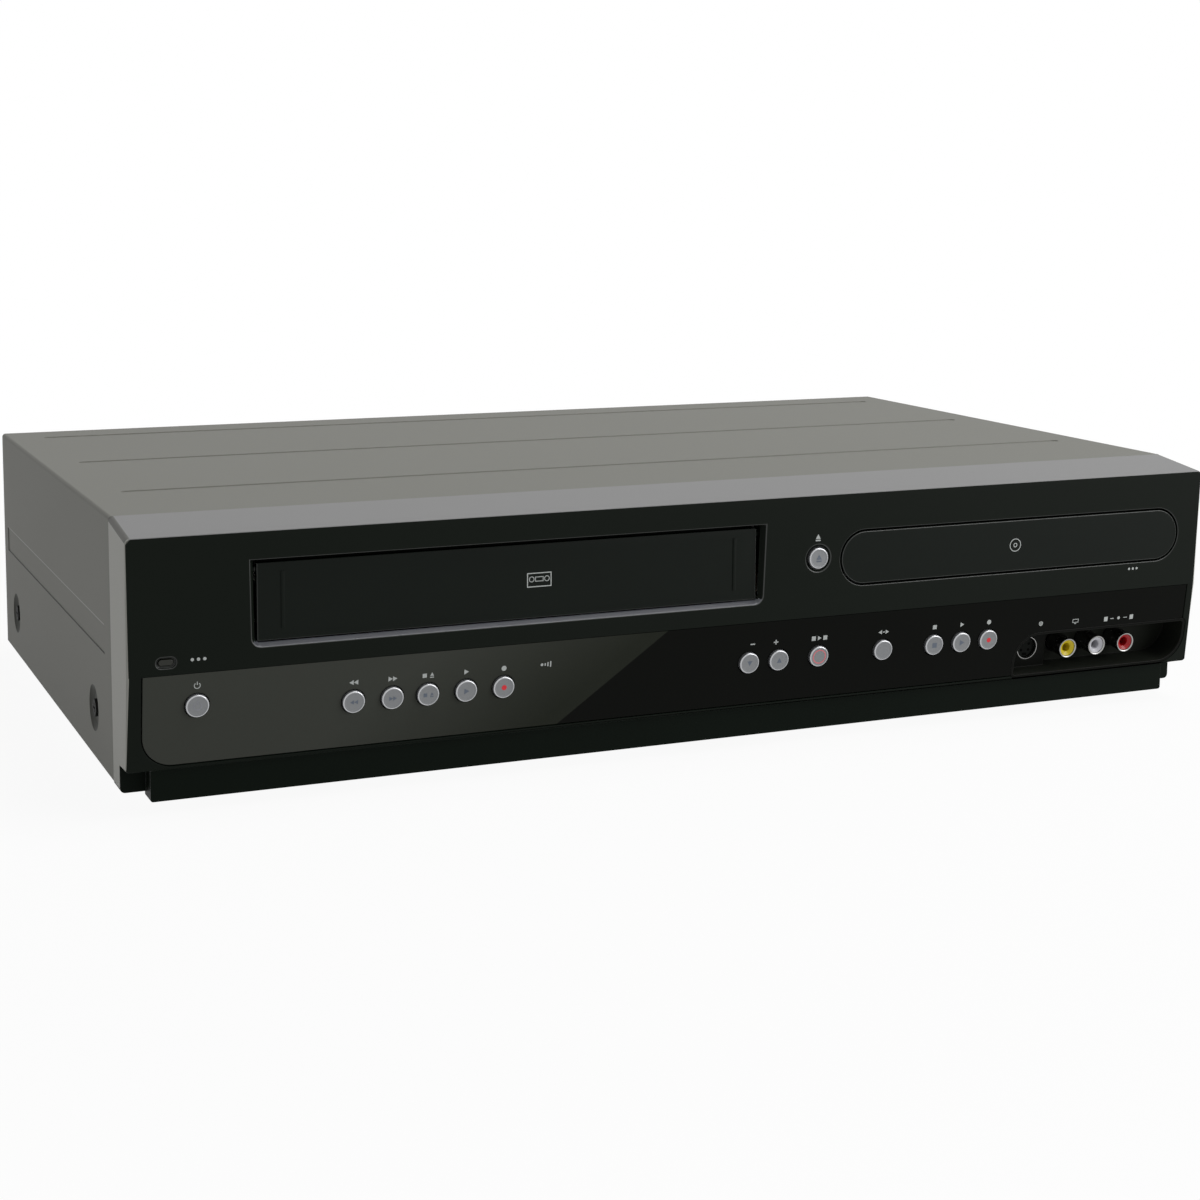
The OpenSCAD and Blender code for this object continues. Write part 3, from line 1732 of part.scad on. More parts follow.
// Tray with two stepped disc seats, an open slot, and a toothed rack along its left hollow
module disc_tray() {
  top = tray_z + tray_t;
  rear = tray_front_d + tray_len;
  rack_depth = 1.8;
  color([0.12, 0.12, 0.13])
  difference() {
    deep_block([disc_x - tray_w / 2, tray_front_d, tray_z], [disc_x + tray_w / 2, rear, top]);
    at_spindle(top - 1.6)
      cylinder(d = disc_d + 1.4, h = tray_t);
    at_spindle(top - 2.8)
      cylinder(d = 82, h = tray_t);
    deep_block([disc_x - hub_window, spindle_y - 19, tray_z - cut],
      [disc_x + hub_window, rear + cut, top + cut]);
    twin_blocks(disc_x, disc_x - rack_x - hollow_w / 2, hollow_w / 2, [tray_front_d + 6, rear - 4],
      [tray_z - cut, tray_z + hollow_z]);
    for (i = [-3:(tray_travel + 14) / tooth_pitch])
      translate([rack_x, front_y + gear_y + i * tooth_pitch, tray_z - cut])
        linear_extrude(hollow_z + cut)
          polygon([[0.01, -1.15], [0.01, 1.15], [-rack_depth, 0.65], [-rack_depth, -0.65]]);
  }
}

// Wheel in mesh with the tray's rack
module tray_gear() {
  root = gear_pitch_r - 1.1;
  tip = gear_pitch_r + 0.7;
  color("ivory")
  at_tray_gear()
    translate([0, 0, clear])
      difference() {
        union() {
          cylinder(r = root + 0.1, h = gear_h);
          for (i = [0:tooth_count - 1])
            rotate([0, 0, i * 360 / tooth_count])
              linear_extrude(gear_h)
                polygon([[root - 0.5, -0.8], [tip, -0.35], [tip, 0.35], [root - 0.5, 0.8]]);
        }
        translate([0, 0, -cut])
          cylinder(d = gear_shaft_d + 2 * run_fit, h = gear_h + 2 * cut);
      }
}

clamp_d = 30;
bridge_half = 22;
bridge_top = side_top + 2.4;

// Bar over the tray that carries the clamp
module clamp_bridge() {
  reach = tray_side + drive_wall;
  depths = [spindle_y - bridge_half, spindle_y + bridge_half];
  color("silver")
  difference() {
    union() {
      deep_block([disc_x - reach, depths[0], bridge_top - 1.2],
        [disc_x + reach, depths[1], bridge_top]);
      twin_blocks(disc_x, reach - drive_wall / 2, drive_wall / 2, depths, [side_top, bridge_top]);
    }
    at_spindle(side_top - cut)
      cylinder(d = clamp_d + 2 * clear, h = 10);
    twin_blocks(disc_x, 42, 14, [spindle_y - 12, spindle_y + 12], [side_top - cut, bridge_top + cut]);
  }
}

clamp_low = tray_z + tray_t + 2.8;

// Magnetic clamp that hangs in the bridge on its rim
module disc_clamp() {
  color("whitesmoke")
  at_spindle(0) {
    cylinder_from(clamp_low, bridge_top + clear + 0.1, clamp_d);
    cylinder_from(bridge_top + clear, bridge_top + clear + 1.4, clamp_d + 6);
    translate([0, 0, bridge_top + clear + 1.3])
      cylinder(d1 = 22, d2 = 18, h = 2);
  }
}

rod_d = 3;
rod_x = 22;
rod_z = base_z + 5;
rod_block = 3.5;
sled_y = 97;
sled_len = 14;
rod_depths = [sled_y - 0.5 - rod_block, sled_y + sled_len + sled_travel + 1 + rod_block];
trav_z = base_z + 1;
trav_t = 2;
trav_depths = [58, 155];
motor_d = 26;
motor_drop = 4;

// Sub-frame that tilts the turntable and the sled down under the tray
module traverse() {
  color("gray")
  difference() {
    union() {
      deep_block([disc_x - 34, trav_depths[0], trav_z], [disc_x + 34, 150, trav_z + trav_t]);
      twin_blocks(disc_x, 33, 1.5, trav_depths, [trav_z, trav_z + 6]);
      hinge_pins(38, hinge_pin_d, 8);
      for (side = [-1, 1])
        translate([disc_x + side * rod_x, front_y, rod_z])
          bar_y(rod_d, rod_depths[0] + 1, rod_depths[1] - 1);
      for (y = [rod_depths[0], rod_depths[1] - rod_block])
        twin_blocks(disc_x, rod_x, 3, [y, y + rod_block], [trav_z + 1, rod_z + 2.4]);
      at_spindle(trav_z - motor_drop)
        cylinder(d = motor_d, h = 2 * motor_drop);
    }
    deep_block([disc_x - 18, rod_depths[0] + rod_block, trav_z - cut],
      [disc_x + 18, rod_depths[1] - rod_block, trav_z + trav_t + cut]);
    at_spindle(trav_z - 2)
      cylinder(d = 3 + 2 * run_fit, h = 8);
  }
}

// Turntable with its centring cone, turning in the motor
module spindle_hub() {
  low = trav_z + motor_drop + clear;
  table = tray_z + tray_t - 1;
  color("gainsboro")
  at_spindle(0) {
    cylinder_from(trav_z - 1.6, low + 0.1, 3);
    cylinder_from(low, table - 1.6, 18);
    cylinder_from(table - 1.7, table, 29);
    translate([0, 0, table - 0.1])
      cylinder(d1 = 14.8, d2 = 12, h = 2.2);
  }
}

// Pick-up sled on the two rods, with its lens
module laser_sled() {
  top = rod_z + 2.6;
  color("darkslategray")
  translate([disc_x, front_y + sled_y, 0])
    difference() {
      union() {
        block([-26, 0, trav_z + trav_t + clear], [26, sled_len, top]);
        block([-12, 1, top - 0.1], [12, sled_len - 1, top + 1.4]);
        translate([0, sled_len / 2, 0])
          cylinder_from(top + 1.3, top + 2.5, 6.5);
      }
      for (side = [-1, 1])
        translate([side * rod_x, 0, rod_z])
          bar_y(rod_d + 2 * run_fit, -cut, sled_len + cut);
      translate([0, sled_len / 2, top + 2])
        cylinder(d = 4.4, h = 2);
    }
}

top_cover();
chassis_tray();
rear_panel();
front_bezel();
control_panel();
led_lens();
jack_tub();
front_jacks();
feet();
case_screws();
key_boards();
display_module();
main_board();
power_supply();
tuner();
rear_jacks();
antenna_jacks();
cord_gland();
fan_frame();
fan_rotor();
ribbon_cables();
deck_plate();
cassette_guides();
cassette_carriage();
cassette_holder();
cassette_door();
drum_base();
head_drum();
supply_reel();
takeup_reel();
capstan();
pinch_arm();
pinch_roller();
guide_supply();
guide_takeup();
tape_heads();
cam_gear();
drive_base();
disc_tray();
tray_front();
clamp_bridge();
disc_clamp();
traverse();
spindle_hub();
laser_sled();
tray_gear();
standby_button();
rewind_button();
forward_button();
tape_stop_button();
tape_play_button();
tape_record_button();
tracking_down_button();
tracking_up_button();
dubbing_button();
source_button();
disc_stop_button();
disc_play_button();
disc_record_button();
open_close_button();
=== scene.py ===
import json
import math

import bmesh
import bpy
from mathutils import Matrix, Vector


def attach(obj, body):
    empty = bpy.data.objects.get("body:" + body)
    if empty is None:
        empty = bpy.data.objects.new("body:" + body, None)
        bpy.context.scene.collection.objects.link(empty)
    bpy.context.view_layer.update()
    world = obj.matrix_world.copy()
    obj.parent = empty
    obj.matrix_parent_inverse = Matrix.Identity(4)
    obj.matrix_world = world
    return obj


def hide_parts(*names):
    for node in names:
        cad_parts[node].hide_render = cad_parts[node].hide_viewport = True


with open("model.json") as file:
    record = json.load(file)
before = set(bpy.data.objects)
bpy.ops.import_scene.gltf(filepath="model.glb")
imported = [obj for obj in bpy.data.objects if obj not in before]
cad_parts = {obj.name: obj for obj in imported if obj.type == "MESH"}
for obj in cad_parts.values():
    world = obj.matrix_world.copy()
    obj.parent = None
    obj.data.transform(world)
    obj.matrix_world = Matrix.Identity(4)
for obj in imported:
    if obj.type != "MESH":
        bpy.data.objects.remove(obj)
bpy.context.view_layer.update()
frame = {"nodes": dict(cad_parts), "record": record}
slotOf = {part["node"]: part["material_slot"] for part in frame["record"]["subparts"]}
mm = 0.001
print("frame loaded:", len(frame["nodes"]), "nodes")

# the machine's main lines, in millimetres
deck = {
    "frontY": -134, "halfWidth": 217.5, "height": 99.5, "borderDepth": 26.5, "borderDrop": 3.45,
    "kinkZ": 49.4, "faceLowZ": 16.3, "upperLean": 1.4, "lowerLean": 4.35,
}
faceTopZ = deck["height"] - deck["borderDrop"]


def tone(red, green, blue):
    # display values from 0 to 255 as the linear ones that a shader takes
    linear = []
    for value in (red, green, blue):
        value /= 255
        linear.append(value / 12.92 if value <= 0.04045 else ((value + 0.055) / 1.055) ** 2.4)
    return tuple(linear)


class Signal:
    # a socket on which plain arithmetic adds Math nodes
    def __init__(self, owner, socket):
        self.owner = owner
        self.socket = socket

    def maths(self, operation, first, second):
        return self.owner.add("ShaderNodeMath", {"operation": operation}, {0: first, 1: second})

    def __add__(self, other):
        return self.maths("ADD", self, other)

    def __radd__(self, other):
        return self.maths("ADD", other, self)

    def __sub__(self, other):
        return self.maths("SUBTRACT", self, other)

    def __rsub__(self, other):
        return self.maths("SUBTRACT", other, self)

    def __mul__(self, other):
        return self.maths("MULTIPLY", self, other)

    def __rmul__(self, other):
        return self.maths("MULTIPLY", other, self)

    def __gt__(self, other):
        return self.maths("GREATER_THAN", self, other)

    def __lt__(self, other):
        return self.maths("LESS_THAN", self, other)

    def repeat(self, step):
        return self.maths("PINGPONG", self, step)

    def between(self, low, high):
        # 0 below low, 1 above high, and a straight ramp between them
        return self.owner.add("ShaderNodeMapRange", {"clamp": True},
                              {0: self, 1: low, 2: high, 3: 0.0, 4: 1.0})


class Nodes:
    # a node tree: every node is made by add, from its type, its settings and what its sockets get
    def __init__(self, tree):
        self.tree = tree

    def add(self, kind, settings=None, inputs=None, output=0):
        node = self.tree.nodes.new(kind)
        for name, value in (settings or {}).items():
            setattr(node, name, value)
        for key, value in (inputs or {}).items():
            self.feed(node.inputs[key], value)
        return Signal(self, node.outputs[output])

    def feed(self, socket, value):
        if isinstance(value, Signal):
            self.tree.links.new(value.socket, socket)
        elif isinstance(value, tuple) and socket.type == "RGBA":
            socket.default_value = (*value[:3], 1.0)
        else:
            socket.default_value = value

    def outputs(self, first, names):
        # further outputs of the node that one signal comes from
        return [Signal(self, first.socket.node.outputs[name]) for name in names]


class Finish(Nodes):
    def __init__(self, name, constants=None):
        self.material = bpy.data.materials.new(name)
        self.material.use_nodes = True
        super().__init__(self.material.node_tree)
        self.shader = self.tree.nodes["Principled BSDF"]
        for socket, value in (constants or {}).items():
            self.shader.inputs[socket].default_value = value
        self.point = self.add("ShaderNodeTexCoord", output="Object")

    def set(self, socket, value):
        self.feed(self.shader.inputs[socket], value)

    def stretched(self, x, y, z):
        return self.add("ShaderNodeMapping", None, {"Vector": self.point, "Scale": (x, y, z)})

    def axes(self):
        return self.outputs(self.add("ShaderNodeSeparateXYZ", None, {0: self.point}), range(3))

    def noise(self, size, detail=2.0, at=None):
        # size of one patch in millimetres
        return self.add("ShaderNodeTexNoise", None,
                        {"Vector": at or self.point, "Scale": 1 / (size * mm), "Detail": detail})

    def cells(self, size, output="Distance"):
        return self.add("ShaderNodeTexVoronoi", None,
                        {"Vector": self.point, "Scale": 1 / (size * mm)}, output)

    def blend(self, share, first, second):
        return self.add("ShaderNodeMix", {"data_type": "RGBA"}, {0: share, 6: first, 7: second}, 2)

    def bump(self, height, depth, strength, over=None):
        # depth in millimetres between the lowest and the highest of the pattern
        inputs = {"Height": height, "Distance": depth * mm, "Strength": strength}
        if over:
            inputs["Normal"] = over
        return self.add("ShaderNodeBump", None, inputs)


finishes = {}


def keep(slot, finish):
    finishes[slot] = finish.material


# moulded plastics: colour as seen, its drift, gloss, and the spark-eroded grain of the mould
plastics = {
    "black_plastic": {
        "colour": (24, 25, 25), "drift": 0.25, "rough": 0.5, "grain": 0.9, "depth": 0.012, "gloss": 0.3},
    "door_black": {
        "colour": (7, 13, 8), "drift": 0.2, "rough": 0.42, "grain": 0.7, "depth": 0.006, "gloss": 0.1},
    "foot_rubber": {
        "colour": (30, 30, 30), "drift": 0.35, "rough": 0.75, "grain": 0.6, "depth": 0.03, "gloss": 0.25},
    "white_moulding": {
        "colour": (214, 212, 204), "drift": 0.08, "rough": 0.45, "grain": 1.2, "depth": 0.01, "gloss": 0.5},
    "dark_moulding": {
        "colour": (46, 47, 50), "drift": 0.2, "rough": 0.55, "grain": 1.0, "depth": 0.015, "gloss": 0.4},
    "roller_rubber": {
        "colour": (38, 36, 35), "drift": 0.3, "rough": 0.7, "grain": 0.5, "depth": 0.02, "gloss": 0.3},
}


def mouldedPlastic(slot, look):
    finish = Finish(slot, {"Specular IOR Level": look["gloss"]})
    patches = finish.noise(24, 3)
    grain = finish.noise(look["grain"], 3)
    smears = finish.noise(9, 4, finish.stretched(1.0, 0.4, 2.2))
    base = tone(*look["colour"])
    dark = tuple(value * (1 - look["drift"]) for value in base)
    light = tuple(value * (1 + look["drift"]) for value in base)
    finish.set("Base Color", finish.blend(patches * 0.7 + grain * 0.3, dark, light))
    finish.set("Roughness", look["rough"] - 0.1 + smears * 0.12 + grain * 0.08)
    finish.set("Normal", finish.bump(grain, look["depth"], 0.6))
    keep(slot, finish)


for slot, look in plastics.items():
    mouldedPlastic(slot, look)


# sheet metals: two tones of one grain, how coarse it is, how much the rolling shows
metals = {
    "zinc_sheet": {
        "low": (162, 166, 168), "high": (192, 196, 198), "rough": 0.38, "grain": 7.0, "rolled": 0.05},
    "tin_sheet": {
        "low": (172, 173, 170), "high": (206, 206, 202), "rough": 0.3, "grain": 3.0, "rolled": 0.08},
    "screw_steel": {
        "low": (150, 150, 146), "high": (196, 196, 190), "rough": 0.3, "grain": 1.2, "rolled": 0.04},
    "polished_aluminium": {
        "low": (196, 198, 200), "high": (222, 223, 224), "rough": 0.16, "grain": 2.0, "rolled": 0.1},
    "ground_steel": {
        "low": (158, 160, 163), "high": (190, 192, 194), "rough": 0.24, "grain": 1.5, "rolled": 0.12},
}


def sheetMetal(slot, look):
    finish = Finish(slot, {"Metallic": 1.0})
    tint = finish.add("ShaderNodeSeparateColor", None, {0: finish.cells(look["grain"], "Color")})
    rolling = finish.noise(1.4, 3, finish.stretched(1.0, 0.05, 1.0))
    clouds = finish.noise(40, 3)
    share = tint * 0.45 + rolling * 0.3 + clouds * 0.25
    finish.set("Base Color", finish.blend(share, tone(*look["low"]), tone(*look["high"])))
    finish.set("Roughness", look["rough"] - 0.06 + tint * 0.08 + rolling * look["rolled"] + clouds * 0.06)
    finish.set("Normal", finish.bump(rolling, 0.01, 0.4))
    keep(slot, finish)


for slot, look in metals.items():
    sheetMetal(slot, look)

paint = {
    "shade": (118, 118, 112), "bright": (127, 127, 121), "speck": 0.55, "peel": 2.2, "peelDepth": 0.008,
    "rough": 0.5, "gloss": 0.1,
}
# what the other painted parts have instead; the lighter and darker copies among them paint highlights, light
# and shade
paints = {
    "painted_cover": {},
    "borderPaint": {
        "shade": (117, 117, 117), "bright": (127, 127, 127), "speck": 0.4, "rough": 0.4, "gloss": 0.4},
    "stripLitPaint": {
        "shade": (157, 157, 151), "bright": (167, 167, 161), "speck": 0.4, "rough": 0.45, "gloss": 0.2},
    "dentHighlightPaint": {"shade": (140, 140, 135), "bright": (150, 150, 145), "gloss": 0.3},
    "shadedPaint": {"shade": (74, 75, 71), "bright": (84, 85, 81)},
    "dentShadePaint": {"shade": (92, 93, 89), "bright": (102, 103, 99)},
    "foldShadePaint": {
        "shade": (95, 95, 91), "bright": (103, 103, 99), "speck": 0.4, "rough": 0.45, "gloss": 0.2},
}


def coverPaint(slot, look):
    # satin baked paint with fine orange peel and metal specks
    finish = Finish(slot, {"Specular IOR Level": look["gloss"]})
    clouds = finish.noise(60, 3)
    specks = finish.noise(look["speck"], 2)
    peel = finish.noise(look["peel"], 2)
    share = clouds * 0.5 + specks * 0.5
    finish.set("Base Color", finish.blend(share, tone(*look["shade"]), tone(*look["bright"])))
    finish.set("Roughness", look["rough"] + clouds * 0.06 + specks * 0.05)
    finish.set("Normal", finish.bump(peel, look["peelDepth"], 0.5,
                                     finish.bump(specks, look["peelDepth"] * 0.5, 0.4)))
    keep(slot, finish)


for slot, change in paints.items():
    coverPaint(slot, dict(paint, **change))

face = {"colour": (7, 12, 7), "lighter": 1.45, "grain": 0.55, "depth": 0.005, "rough": 0.42, "gloss": 0.08}
# what the other black parts of the front have instead; the lighter blacks of the lip, the door edges and the
# recess's inside paint highlights and light
faces = {
    "front_black": {},
    "edgeGloss": {"rough": 0.26, "gloss": 0.55},
    "lipHighlight": {"colour": (58, 60, 66), "rough": 0.3, "gloss": 0.9},
    "skirtBlack": {"colour": (6, 12, 7), "gloss": 0.05},
    "doorEdgeHighlight": {"colour": (27, 30, 27), "rough": 0.3, "gloss": 0.5},
    "tubBlack": {"colour": (11, 12, 10), "gloss": 0.04},
    "tubPaintedLight": {"colour": (24, 26, 22), "gloss": 0.05},
    "tubEdge": {"colour": (17, 17, 15), "gloss": 0.08},
}


def facePlastic(slot, look):
    # black plastic with a fine even grain, a little lighter and duller in large soft patches
    finish = Finish(slot, {"Specular IOR Level": look["gloss"]})
    patches = finish.noise(70, 2)
    grain = finish.noise(look["grain"], 3)
    base = tone(*look["colour"])
    light = tuple(value * look["lighter"] for value in base)
    finish.set("Base Color", finish.blend(patches * 0.6 + grain * 0.4, base, light))
    finish.set("Roughness", look["rough"] + patches * 0.06 + grain * 0.08)
    finish.set("Normal", finish.bump(grain, look["depth"], 0.5))
    keep(slot, finish)


for slot, change in faces.items():
    facePlastic(slot, dict(face, **change))

# the panel's two tones meet on a slanted line from lowX at lowZ to highX at highZ, in millimetres; the light
# tone, which fades towards the right, is a painted reflection
panel = {
    "light": (61, 63, 58), "fade": (30, 33, 26), "dark": (6, 7, 5), "dust": (76, 78, 72), "lighter": 1.7,
    "lowX": -62.0, "lowZ": 18.5, "highX": -22.5, "highZ": 48.0, "fadeFrom": -90, "fadeTo": -8, "soft": 0.3,
    "rough": 0.13, "gloss": 0.05,
}


def smokedPanel(slot, look):
    finish = Finish(slot, {"Specular IOR Level": look["gloss"]})
    x, y, z = finish.axes()
    slope = (look["highX"] - look["lowX"]) / (look["highZ"] - look["lowZ"])
    line = x - (z - look["lowZ"] * mm) * slope - look["lowX"] * mm
    dust = finish.noise(0.7, 2)
    drift = finish.noise(45, 2)
    light = tone(*look["light"])
    dark = tone(*look["dark"])
    # painted reflection: left of the slanted line the light tone fades to a darker one towards the right,
    # with dust over it
    far = line.between(look["fadeFrom"] * mm, look["fadeTo"] * mm)
    fadingPaintedReflection = finish.blend(far, light, tone(*look["fade"]))
    paintedReflectionAndDust = finish.blend(drift * 0.12 + dust * 0.05, fadingPaintedReflection, tone(*look["dust"]))
    deep = finish.blend(drift * 0.6 + dust * 0.4, dark, tuple(value * look["lighter"] for value in dark))
    finish.set("Base Color", finish.blend(line.between(-look["soft"] * mm, look["soft"] * mm), paintedReflectionAndDust, deep))
    finish.set("Roughness", look["rough"] + drift * 0.05 + dust * 0.04)
    keep(slot, finish)


smokedPanel("smoked_panel", panel)

button = {"low": (116, 118, 120), "high": (132, 134, 136), "fleck": 0.25, "rough": 0.34, "metal": 0.35}


def buttonSilver(slot, look):
    # silver lacquer over plastic, with fine metal flake
    finish = Finish(slot, {"Metallic": look["metal"], "Specular IOR Level": 0.5})
    flake = finish.noise(look["fleck"], 1)
    rubbed = finish.noise(3, 3)
    share = flake * 0.6 + rubbed * 0.4
    finish.set("Base Color", finish.blend(share, tone(*look["low"]), tone(*look["high"])))
    finish.set("Roughness", look["rough"] + flake * 0.1 + rubbed * 0.05)
    finish.set("Normal", finish.bump(flake, 0.004, 0.4))
    keep(slot, finish)


buttonSilver("button_silver", button)
# the rim takes a lighter, glossier copy of the silver, a painted highlight
buttonSilver("buttonRimHighlight", dict(button, low=(176, 177, 179), high=(192, 193, 196), rough=0.18, metal=0.8))

# printing inks and coloured mouldings
inks = {
    "labelInk": {"colour": (176, 180, 178), "rough": 0.5},
    "symbolInk": {"colour": (96, 104, 116), "rough": 0.5},
    "faintInk": {"colour": (136, 138, 144), "rough": 0.5},
    "recordInk": {"colour": (214, 50, 58), "rough": 0.45},
    "ringInk": {"colour": (206, 116, 122), "rough": 0.45},
    "yellowInsert": {"colour": (206, 184, 26), "rough": 0.22},
    "whiteInsert": {"colour": (196, 196, 202), "rough": 0.22},
    "redInsert": {"colour": (164, 18, 26), "rough": 0.22},
    "greenInsert": {"colour": (36, 130, 66), "rough": 0.22},
    "blueInsert": {"colour": (40, 72, 160), "rough": 0.22},
    # near-black that paints the shade inside the sockets' holes
    "socketBlack": {"colour": (4, 4, 4), "rough": 0.6, "gloss": 0.02},
    "blackScrew": {"colour": (40, 41, 40), "rough": 0.5, "gloss": 0.03},
    "socketFace": {"colour": (17, 19, 17), "rough": 0.6, "gloss": 0.05},
}


def inkOrInsert(name, look):
    finish = Finish(name, {"Specular IOR Level": look.get("gloss", 0.3)})
    worn = finish.noise(0.6, 3)
    drift = finish.noise(6, 2)
    base = tone(*look["colour"])
    dark = tuple(value * 0.86 for value in base)
    light = tuple(min(1.0, value * 1.12) for value in base)
    finish.set("Base Color", finish.blend(worn * 0.6 + drift * 0.4, dark, light))
    finish.set("Roughness", look["rough"] - 0.05 + worn * 0.12)
    finish.set("Normal", finish.bump(worn, 0.004, 0.3))
    keep(name, finish)


for name, look in inks.items():
    inkOrInsert(name, look)


lamp = {"low": (22, 25, 19), "high": (40, 42, 34), "rough": 0.14, "gloss": 0.25}


def lampGlass(slot, look):
    # smoked lens of the unlit lamp, with a fine grain
    finish = Finish(slot, {"Specular IOR Level": look["gloss"], "Coat Roughness": 0.05})
    grain = finish.noise(0.5, 2)
    cloud = finish.noise(3, 2)
    share = grain * 0.5 + cloud * 0.5
    finish.set("Base Color", finish.blend(share, tone(*look["low"]), tone(*look["high"])))
    finish.set("Roughness", look["rough"] + grain * 0.08)
    finish.set("Coat Weight", 0.05 + cloud * 0.1)
    keep(slot, finish)


lampGlass("lamp_red", lamp)

nickels = {
    "jack_parts": {"low": (196, 194, 188), "high": (222, 216, 200)},
    "rimNickel": {"low": (138, 138, 138), "high": (176, 175, 172)},
}


def jackPlate(slot, look):
    # nickel on brass, with a warm cast where it is thin
    finish = Finish(slot, {"Metallic": 1.0})
    worn = finish.noise(2.5, 4)
    turned = finish.noise(0.35, 2, finish.stretched(1.0, 0.2, 1.0))
    finish.set("Base Color", finish.blend(worn, tone(*look["low"]), tone(*look["high"])))
    finish.set("Roughness", 0.16 + worn * 0.12 + turned * 0.06)
    finish.set("Normal", finish.bump(turned, 0.006, 0.3))
    keep(slot, finish)


for slot, look in nickels.items():
    jackPlate(slot, look)

boards = {
    "circuit_board": {
        "mask": (26, 74, 44), "trace": (44, 104, 60), "hole": (150, 146, 128), "weave": (8, 20, 12),
        "pitch": 2.54},
    "supply_board": {
        "mask": (150, 116, 66), "trace": (168, 134, 84), "hole": (190, 186, 172), "weave": (8, 20, 12),
        "pitch": 3.2},
}


def printedBoard(slot, look):
    # solder mask over copper: straight tracks, filled areas and tinned holes
    finish = Finish(slot, {"Specular IOR Level": 0.5})
    x, y, z = finish.axes()
    choice = finish.add("ShaderNodeSeparateColor", None, {0: finish.cells(22, "Color")})
    pitch = look["pitch"] * mm
    across = x.repeat(pitch / 2) > pitch * 0.32
    along = y.repeat(pitch / 2) > pitch * 0.32
    tracks = across * (choice > 0.55) + along * (choice < 0.45)
    holes = finish.cells(look["pitch"] * 1.6) < 0.16
    weave = finish.noise(0.8, 2)
    mask = finish.blend(tracks.between(0.0, 1.0), tone(*look["mask"]), tone(*look["trace"]))
    shade = finish.blend(weave * 0.3, mask, tone(*look["weave"]))
    finish.set("Base Color", finish.blend(holes, shade, tone(*look["hole"])))
    finish.set("Metallic", holes * 0.9)
    finish.set("Roughness", 0.34 + weave * 0.12 - holes * 0.1)
    finish.set("Normal", finish.bump(tracks.between(0.0, 1.0) + holes, 0.05, 0.5))
    keep(slot, finish)


for slot, look in boards.items():
    printedBoard(slot, look)


display = {"glass": (24, 27, 28), "cloud": (38, 42, 42), "wire": (60, 62, 58), "pitch": 0.9, "gap": 0.82}


def displayGlass(slot, look):
    # vacuum display: dark grey glass with a faint grid and a warm filament tint
    finish = Finish(slot, {"Specular IOR Level": 0.5, "Coat Weight": 0.6, "Coat Roughness": 0.03})
    x, y, z = finish.axes()
    pitch, gap = look["pitch"] * mm, look["gap"] * mm
    grid = (x.repeat(pitch) > gap) + (z.repeat(pitch) > gap)
    cloud = finish.noise(8, 3)
    base = finish.blend(cloud, tone(*look["glass"]), tone(*look["cloud"]))
    finish.set("Base Color", finish.blend(grid.between(0.0, 1.0), base, tone(*look["wire"])))
    finish.set("Roughness", 0.12 + cloud * 0.08)
    keep(slot, finish)


displayGlass("display_glass", display)

ribbon = {"groove": (120, 120, 122), "core": (196, 196, 198), "pitch": 0.5, "edge": 0.2, "depth": 0.25}


def ribbonWeb(slot, look):
    # flat cable: separate cores with a groove between them
    finish = Finish(slot, {"Specular IOR Level": 0.4})
    x, y, z = finish.axes()
    pitch = look["pitch"] * mm
    cores = x.repeat(pitch)
    cloud = finish.noise(10, 2)
    share = cores.between(0.0, look["edge"] * mm)
    finish.set("Base Color", finish.blend(share, tone(*look["groove"]), tone(*look["core"])))
    finish.set("Roughness", 0.42 + cloud * 0.15)
    finish.set("Normal", finish.bump(cores.between(0.0, pitch), look["depth"], 0.7))
    keep(slot, finish)


ribbonWeb("ribbon", ribbon)
print("finishes made:", len(finishes))

for node, piece in frame["nodes"].items():
    piece.data.materials.clear()
    piece.data.materials.append(finishes[slotOf[node]])


def inMm(place):
    return [value / mm for value in place]


def nodeCopy(node):
    # a copy of a node's mesh with its loose triangles merged into whole faces
    shape = bmesh.new()
    shape.from_mesh(frame["nodes"][node].data)
    bmesh.ops.remove_doubles(shape, verts=shape.verts, dist=0.002 * mm)
    bmesh.ops.dissolve_limit(shape, angle_limit=math.radians(0.4), verts=shape.verts, edges=shape.edges)
    return shape


def soften(shape, width, sharper=28, where=None, segments=2, slot=-1):
    # rounds the edges that are sharper than so many degrees, where their middle passes the test
    chosen = []
    for edge in shape.edges:
        if len(edge.link_faces) != 2 or edge.calc_face_angle(0) < math.radians(sharper):
            continue
        middle = (edge.verts[0].co + edge.verts[1].co) / 2
        if where is None or where(middle, edge):
            chosen.append(edge)
    bmesh.ops.bevel(shape, geom=chosen, offset=width * mm, offset_type="OFFSET", segments=segments,
                    profile=0.5, affect="EDGES", clamp_overlap=False, material=slot)


def makePiece(name, shape, body, slots, nodes=(), creases=48):
    mesh = bpy.data.meshes.new(name)
    shape.normal_update()
    shape.to_mesh(mesh)
    shape.free()
    for slot in slots:
        mesh.materials.append(finishes[slot])
    mesh.shade_smooth()
    mesh.set_sharp_from_angle(angle=math.radians(creases))
    piece = bpy.data.objects.new(name, mesh)
    bpy.context.scene.collection.objects.link(piece)
    weighted = piece.modifiers.new("faceNormals", "WEIGHTED_NORMAL")
    weighted.keep_sharp = True
    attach(piece, body)
    if nodes:
        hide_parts(*nodes)
    return piece


def faceDepth(z):
    # how far behind the face's top line the face stands at a height, in millimetres
    if z >= deck["kinkZ"]:
        return deck["upperLean"] * (faceTopZ - z) / (faceTopZ - deck["kinkZ"])
    return deck["upperLean"] + deck["lowerLean"] * (deck["kinkZ"] - z) / (deck["kinkZ"] - deck["faceLowZ"])


